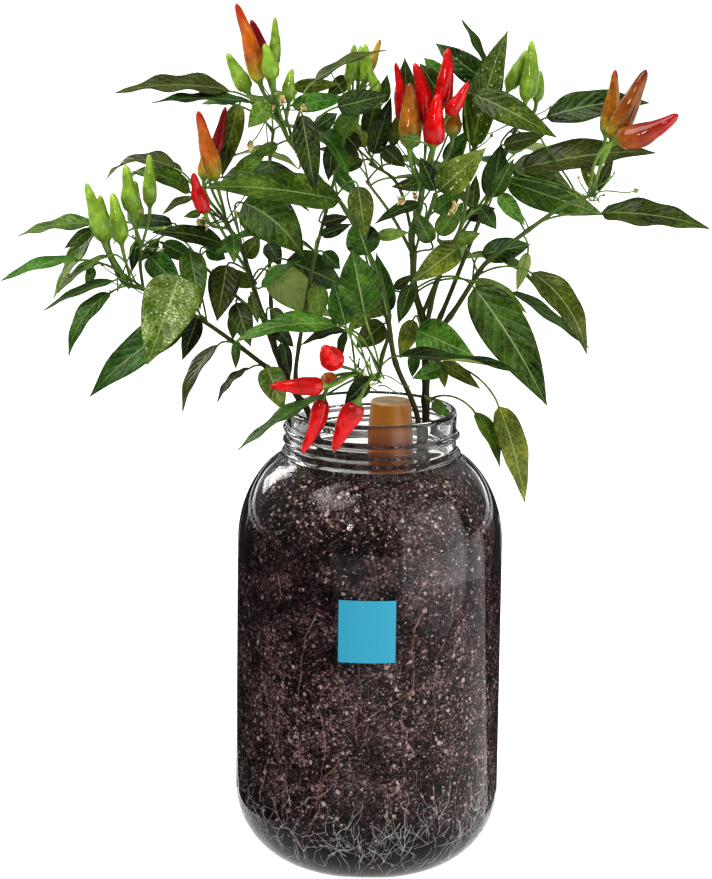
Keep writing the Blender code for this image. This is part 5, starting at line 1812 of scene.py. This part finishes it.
        def spot(across_share: float, t: float) -> Vector:
            """Find a point of the shaped blade.

            Args:
                across_share: Place across the flat blade, from -1 to 1.
                t: Place along it, from 0 to 1.

            Returns:
                The point in space, in mm.
            """
            along = (span + bulge * (1 - 2 * t)).normalized()
            normal = side.cross(along).normalized()
            level = along.cross(normal)
            turn = Matrix.Rotation(twist * (t - 0.35), 3, along)
            half = self.half_width(t, width)
            ripple = wave * min(1.0, 3.0 * half / width)
            lift = self.fold * max(0.0, half - 1.0) * abs(across_share) ** 1.35
            lift += ripple * math.sin(math.tau * laps * t + phase + across_share) * across_share ** 2
            droop = curl * max(0.0, t - 0.6) ** 2 * 4
            place = base + span * t + bulge * (t * (1 - t)) - normal * droop
            return place + turn @ (level * (across_share * half) + normal * lift)

        def mould(mesh: bpy.types.Mesh) -> None:
            """Shape a copy of the flat blade.

            Args:
                mesh: The copy's mesh.
            """
            for vert in mesh.vertices:
                vert.co = spot(vert.co.x, vert.co.y) * MM
            for name, value in shades.items():
                mesh.attributes.new(name, "FLOAT", "POINT")
                mesh.attributes[name].data.foreach_set("value", [value] * len(mesh.vertices))

        heading = (span + bulge).normalized()
        count = max(3, round((base - root).length / self.course_step))
        course = [(place, self.petiole_r) for place in stalk(root, base, heading, count)]
        for i in range(15):
            t = i / 14 * 0.9
            radius = max(0.15, self.petiole_r * (1 - 0.5 * min(1.0, t * 5)) * (1.0 - t) ** 0.7)
            under = side.cross((span + bulge * (1 - 2 * t)).normalized()).normalized()
            course.append((spot(0.0, t) - under * radius * 0.8, radius))
        return mould, course

    def thicken(self, obj: Piece) -> None:
        """Give joined blades their thickness, with the underside's finish on its own face.

        Args:
            obj: The joined blades.
        """
        smoothed(obj, 180.0)
        solid = obj.modifiers.new("thickness", "SOLIDIFY")
        solid.thickness = self.blade_mm * MM
        solid.offset = 0.0
        solid.material_offset = 1
        solid.material_offset_rim = 0
        obj.data.materials.append(LeafUpperSide().material())
        obj.data.materials.append(LeafUnderSide().material())
        choose(obj)
        bpy.ops.object.modifier_apply(modifier=solid.name)

    def build_flowers(self, blade: Piece, pod: Piece) -> None:
        """Build buds, withered flowers and bare flower stalks, from the shared patterns.

        Args:
            blade: Pattern of a petal.
            pod: Pattern of a bud.
        """
        rng = random.Random(self.seed + len(self.name))
        rows = [(seen(row.at), seen(row.place), row.size, row.dry) for row in FLOWERS[self.name]]
        for spray in SPRAYS[self.name]:
            if not spray.pods:
                continue
            for _ in range(self.bare_stalks):
                off = Vector((rng.uniform(-3, 3), rng.uniform(-3, 3), rng.uniform(-4, 2)))
                root = seen(spray.at) + off
                way = Vector((rng.uniform(-1, 1), rng.uniform(-1, 1), rng.uniform(-0.5, 1.1)))
                place = root + way.normalized() * rng.uniform(8, 19)
                rows.append((root, place, rng.uniform(1.0, 1.8), rng.random() < 0.4))
        stalks: list[Course] = []
        petals: list[Mould] = []
        buds: list[Mould] = []
        for root, place, size, dry in rows:
            heading = ((place - root).normalized() + Vector((0.0, 0.0, 0.3))).normalized()
            points = stalk(root, place, heading, 7)
            stalks.append([(point, 0.4 - 0.1 * i / 6) for i, point in enumerate(points)] + [(place, 0.3)])
            turn = Vector((0, 0, 1)).rotation_difference(heading).to_matrix().to_4x4()
            thick = size * (0.3 if dry else 0.36) * MM
            shape = Matrix.Diagonal((thick, thick, size * 0.7 * MM, 1.0))
            buds.append(self.set_at(Matrix.Translation(place * MM) @ turn @ shape))
            if dry:
                petals += [self.petal(place, heading, size, rng) for _ in range(6)]
        self.fix(tubes(f"{self.name}_flower_stalks", stalks, 1), "foliage", PETIOLE)
        obj = smoothed(copies(f"{self.name}_flower_buds", pod, buds), 180.0)
        self.fix(obj, "green", POD_STALK)
        obj = copies(f"{self.name}_dry_petals", blade, petals)
        self.thicken(obj)
        self.fix(obj, "foliage", DRY_PETAL, DRY_PETAL)

    def set_at(self, frame: Matrix) -> Mould:
        """Return the function that sets a copy of a pattern at its place and size."""
        return lambda mesh: mesh.transform(frame)

    def petal(self, place: Vector, heading: Vector, size: float, rng: random.Random) -> Mould:
        """Crumple one petal of a withered flower.

        Args:
            place: Where it starts.
            heading: The flower's direction.
            size: The flower's size.
            rng: Source of its spread, length and turn.

        Returns:
            The function that shapes a copy of the flat blade.
        """
        spread = Vector((rng.uniform(-1, 1), rng.uniform(-1, 1), rng.uniform(-1, 1))) * 0.9
        tip = place + (heading + spread).normalized() * size * rng.uniform(0.8, 1.3)
        side = (tip - place).cross(Vector((rng.uniform(-1, 1), 0.3, rng.uniform(-1, 1)))).normalized()
        face = side.cross(tip - place).normalized()
        return self.blade(place, place, tip, side, face, size * 0.55, 0.16, 0.0, rng)[0]

    def rooted_pods(self, spray: Spray) -> list[tuple[Vector, Pod]]:
        """Return a spray's pods, each with the point that its stalk grows from."""
        roots = self.roots(spray.at, len(spray.pods) + len(spray.leaves))
        return list(zip(roots, spray.pods))

    def pedicel(self, root: Vector, row: Pod) -> Course:
        """Lead a pod's stalk, which swells into the calyx round the pod's base.

        Args:
            root: Where it leaves the stem.
            row: The pod.

        Returns:
            Its points, each with a radius.
        """
        base = seen((row.x0, row.z0, row.depth))
        axis = (seen((row.x1, row.z1, row.depth + row.run)) - base).normalized()
        radius = row.width / 2
        neck = base - axis * (self.gap + self.calyx)
        count = max(4, round((neck - root).length / 2.0))
        points = stalk(root, neck, axis, count)
        course = [(place, 0.65 + 0.4 * (i / count) ** 2) for i, place in enumerate(points)]
        cup = ((-2.5, 0.26), (-1.9, 0.29), (-1.4, 0.34), (-0.9, 0.42), (-0.4, 0.52), (0.0, 0.6),
               (0.4, 0.66), (0.7, 0.67))
        course += [(base + axis * along, max(0.95, radius * share)) for along, share in cup]
        return course

    def build_pod(self, pattern: Piece, row: Pod, number: int, rng: random.Random) -> None:
        """Copy the pattern pod to its place, with its own lumps and bend.

        Args:
            pattern: The pattern pod.
            row: The pod's own row.
            number: Its number in the plant.
            rng: Source of its lumps, waist and bend.
        """
        base = seen((row.x0, row.z0, row.depth))
        tip = seen((row.x1, row.z1, row.depth + row.run))
        span = tip - base
        turn = Vector((0, 0, 1)).rotation_difference(span).to_matrix()
        sway = Matrix.Rotation(rng.uniform(0, math.tau), 3, (0, 0, 1)) @ Vector((1, 0, 0))
        shift = Vector((rng.uniform(0, 40), rng.uniform(0, 40), rng.uniform(0, 40)))
        bow = rng.uniform(0.01, 0.07) * span.length
        waist = rng.uniform(0.0, 0.13)
        name = f"{self.name}_pod_{number:02d}"

        def mould(mesh: bpy.types.Mesh) -> None:
            """Shape a copy of the pattern pod.

            Args:
                mesh: The copy's mesh.
            """
            for vert in mesh.vertices:
                x, y, t = vert.co
                flat = Vector((x, y, 0.0)) * (row.width / 2)
                flat *= 1.1 - waist * math.exp(-((t - 0.62) / 0.17) ** 2)
                wide = noise.noise(Vector((x * 1.3, y * 1.3, t * 4.5)) + shift)
                flat *= 1.0 + 0.1 * wide + 0.05 * noise.noise(Vector((x * 2.6, y * 2.6, t * 10.0)) + shift)
                flat += sway * bow * math.sin(math.pi * t)
                vert.co = (base + turn @ (flat + Vector((0, 0, t * span.length)))) * MM

        obj = copies(f"{name}_skin", pattern, [mould])
        smoothed(obj, 180.0)
        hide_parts(name)
        finished(obj, row.skin.value.slot, row.skin.value)


@dataclass
class Patterns:
    """The flat blade and the round pod that all leaves and pods are copied from."""

    blade_across: int = 9
    blade_along: int = 22
    pod_round: int = 22
    pod_rings: int = 22

    def blade(self) -> Piece:
        """Make the flat blade: x from -1 to 1 across, y from 0 to 1 along, with a UV map.

        Returns:
            The blade.
        """
        clear_selection()
        bpy.ops.mesh.primitive_grid_add(x_subdivisions=self.blade_across - 1,
                                        y_subdivisions=self.blade_along, size=1.0)
        obj = bpy.context.object
        obj.name = "blade_pattern"
        for vert in obj.data.vertices:
            vert.co = Vector((vert.co.x * 2.0, vert.co.y + 0.5, 0.0))
        return obj

    def pod(self) -> Piece:
        """Make the pod: radius 1 at its widest, z from 0 at its base to 1 at its tip.

        Returns:
            The pod.
        """
        clear_selection()
        bpy.ops.mesh.primitive_uv_sphere_add(segments=self.pod_round, ring_count=self.pod_rings,
                                             radius=1.0)
        obj = bpy.context.object
        obj.name = "pod_pattern"
        shape = ((0.0, 0.0, 0.0), (0.05, 0.5, 0.0), (0.1, 0.76, 0.035), (0.17, 0.93, 0.1),
                 (0.26, 1.0, 0.21), (0.37, 0.98, 0.34), (0.5, 0.85, 0.5), (0.62, 0.68, 0.65),
                 (0.74, 0.53, 0.79), (0.86, 0.4, 0.9), (0.94, 0.26, 0.965), (1.0, 0.0, 1.0))
        for vert in obj.data.vertices:
            share = math.acos(max(-1.0, min(1.0, -vert.co.z))) / math.pi
            radius, along = self.between(shape, share)
            spread = math.hypot(vert.co.x, vert.co.y)
            scale = radius / spread if spread > 1e-6 else 0.0
            vert.co = Vector((vert.co.x * scale, vert.co.y * scale, along))
        return obj

    def between(self, rows: Sequence[Point], share: float) -> Flat:
        """Read a table between its rows.

        Args:
            rows: Share, radius and height.
            share: The share to read it at.

        Returns:
            Radius and height there.
        """
        for (s0, r0, t0), (s1, r1, t1) in zip(rows, rows[1:]):
            if share <= s1:
                k = (share - s0) / (s1 - s0)
                return r0 + (r1 - r0) * k, t0 + (t1 - t0) * k
        return rows[-1][1], rows[-1][2]


@dataclass
class Studio:
    """Camera at the viewpoint of the photograph, plain floor and soft light."""

    lens: float = 153.87
    sensor: float = 36.0
    pitch: float = 12.8
    roll: float = 0.0134
    floor_size: float = 30.0
    sky_strength: float = 0.6
    sky_glow: tuple[float, ...] = (0.14, 0.34, 0.8, 1.7)
    sun_strength: float = 3.1
    sun_spread: float = 40.0
    sun_from: Point = (-0.9, -0.6, 1.7)
    flags: tuple[tuple[Point, ...], ...] = (
        ((-0.095, -0.25, 0.002), (-0.17, 1.9, 0.002), (-0.163, -0.25, 0.168), (-0.305, 1.9, 0.168)),
        ((0.095, 0.02, 0.002), (0.17, 1.9, 0.002), (0.163, 0.02, 0.168), (0.305, 1.9, 0.168)),
        ((-0.1, 0.1, 0.0), (0.1, 0.1, 0.0), (-0.12, 0.5, 0.0), (0.12, 0.5, 0.0)),
    )
    grey_sheet: tuple[Point, ...] = (
        (-0.1, -0.08, 0.0), (0.1, -0.08, 0.0), (-0.1, 0.1, 0.0), (0.1, 0.1, 0.0))
    softboxes: tuple[tuple[str, Point, float, float, float], ...] = (
        ("right_softbox", (0.377, -0.245, 0.24), 0.55, 0.46, 2.3),
        ("left_softbox", (-1.2, 1.2, 1.0), 0.5, 0.9, 9.0),
        ("front_softbox", (-0.45, -1.3, 0.85), 0.14, 0.18, 4.0),
    )

    def build(self) -> None:
        """Set up everything that isn't the object."""
        self.build_camera()
        self.build_floor()
        self.build_flags()
        self.build_lights()
        bpy.context.scene.view_settings.view_transform = "Standard"
        bpy.context.scene.view_settings.look = "Medium High Contrast"

    def build_camera(self) -> None:
        """Place the camera and make it the scene's."""
        data = bpy.data.cameras.new("front_camera")
        data.sensor_width = self.sensor
        data.lens = self.lens
        data.clip_end = 100.0
        obj = bpy.data.objects.new("front_camera", data)
        bpy.context.scene.collection.objects.link(obj)
        aim = Matrix.Rotation(math.radians(90.0 - self.pitch), 4, "X")
        roll = Matrix.Rotation(self.roll, 4, "Z")
        obj.matrix_world = Matrix.Translation(EYE * MM) @ aim @ roll
        bpy.context.scene.camera = obj

    def build_floor(self) -> None:
        """Lay the wide pale floor."""
        clear_selection()
        bpy.ops.mesh.primitive_plane_add(size=self.floor_size, location=(0.0, 0.0, -0.0002))
        obj = bpy.context.object
        obj.name = "studio_floor"
        obj.data.materials.append(StudioFloor().material())

    def build_flags(self) -> None:
        """Stand black velvet flags beside the view and lay a grey sheet round the jar's foot.

        They draw the edges and the heel of the clear glass. They show only in reflections and
        through glass, and take no light from the object.
        """
        sheets = [(f"black_flag_{number}", corners, BLACK_VELVET)
                  for number, corners in enumerate(self.flags, 1)]
        # The grey sheet glows to paint a pale reflection along the jar's heel.
        for name, corners, finish in [*sheets, ("grey_sheet", self.grey_sheet, GLOWING_REFLECTION_SHEET)]:
            clear_selection()
            bpy.ops.mesh.primitive_plane_add(size=1.0)
            obj = bpy.context.object
            obj.name = name
            for vert, corner in zip(obj.data.vertices, corners):
                vert.co = Vector(corner)
            obj.data.materials.append(finish.material())
            obj.visible_camera = False
            obj.visible_diffuse = False
            obj.visible_shadow = False

    def build_lights(self) -> None:
        """Light the room from above, with a soft key light in front and softboxes at the sides."""
        world = bpy.data.worlds.new("studio_sky")
        bpy.context.scene.world = world
        world.use_nodes = True
        tree = world.node_tree
        coords = add_node(tree, "TexCoord")
        way = add_node(tree, "SeparateXYZ", {0: coords.outputs["Generated"]})
        low, side, high, top = ((glow, glow, glow, 1.0) for glow in self.sky_glow)
        ramp = add_node(tree, "ValToRGB", {0: way.outputs[2]}, stops=((0.0, low), (1.0, top), (0.25, side),
                                                                      (0.6, high)))
        sky = tree.nodes["Background"]
        feed(sky, {"Color": ramp, "Strength": self.sky_strength})
        data = bpy.data.lights.new("key_light", "SUN")
        data.energy = self.sun_strength
        data.angle = math.radians(self.sun_spread)
        key = bpy.data.objects.new("key_light", data)
        bpy.context.scene.collection.objects.link(key)
        aim = -Vector(self.sun_from)
        key.matrix_world = aim.to_track_quat("-Z", "Y").to_matrix().to_4x4()
        for softbox in self.softboxes:
            self.add_light(*softbox)

    def add_light(self, name: str, place: Point, width: float, height: float, power: float) -> None:
        """Aim an area light at the middle of the plant.

        Args:
            name: Its name.
            place: Its place, in metres.
            width: Its width in metres.
            height: Its height in metres.
            power: Its power in watts.
        """
        data = bpy.data.lights.new(name, "AREA")
        data.shape = "RECTANGLE"
        data.size = width
        data.size_y = height
        data.energy = power
        obj = bpy.data.objects.new(name, data)
        bpy.context.scene.collection.objects.link(obj)
        obj.visible_camera = False
        aim = Vector((0.0, 0.0, 0.2)) - Vector(place)
        obj.matrix_world = Matrix.Translation(place) @ aim.to_track_quat("-Z", "Y").to_matrix().to_4x4()


def main() -> None:
    """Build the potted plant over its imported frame, and its studio."""
    logging.basicConfig(level=logging.INFO, format="%(name)s %(message)s")
    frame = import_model()
    Studio().build()
    jar = Jar()
    jar.build()
    Soil(jar).build()
    Plug().build()
    label = frame["nodes"]["blank_label"]
    for slot in label.material_slots:
        slot.material = VinylLabel().material()
    LOG.info("%s: dressed", label.name)
    patterns = Patterns()
    blade = patterns.blade()
    pod = patterns.pod()
    for name in STEMS:
        Plant(name).build(blade, pod)
    discard(blade)
    discard(pod)


if __name__ == "__main__":
    main()
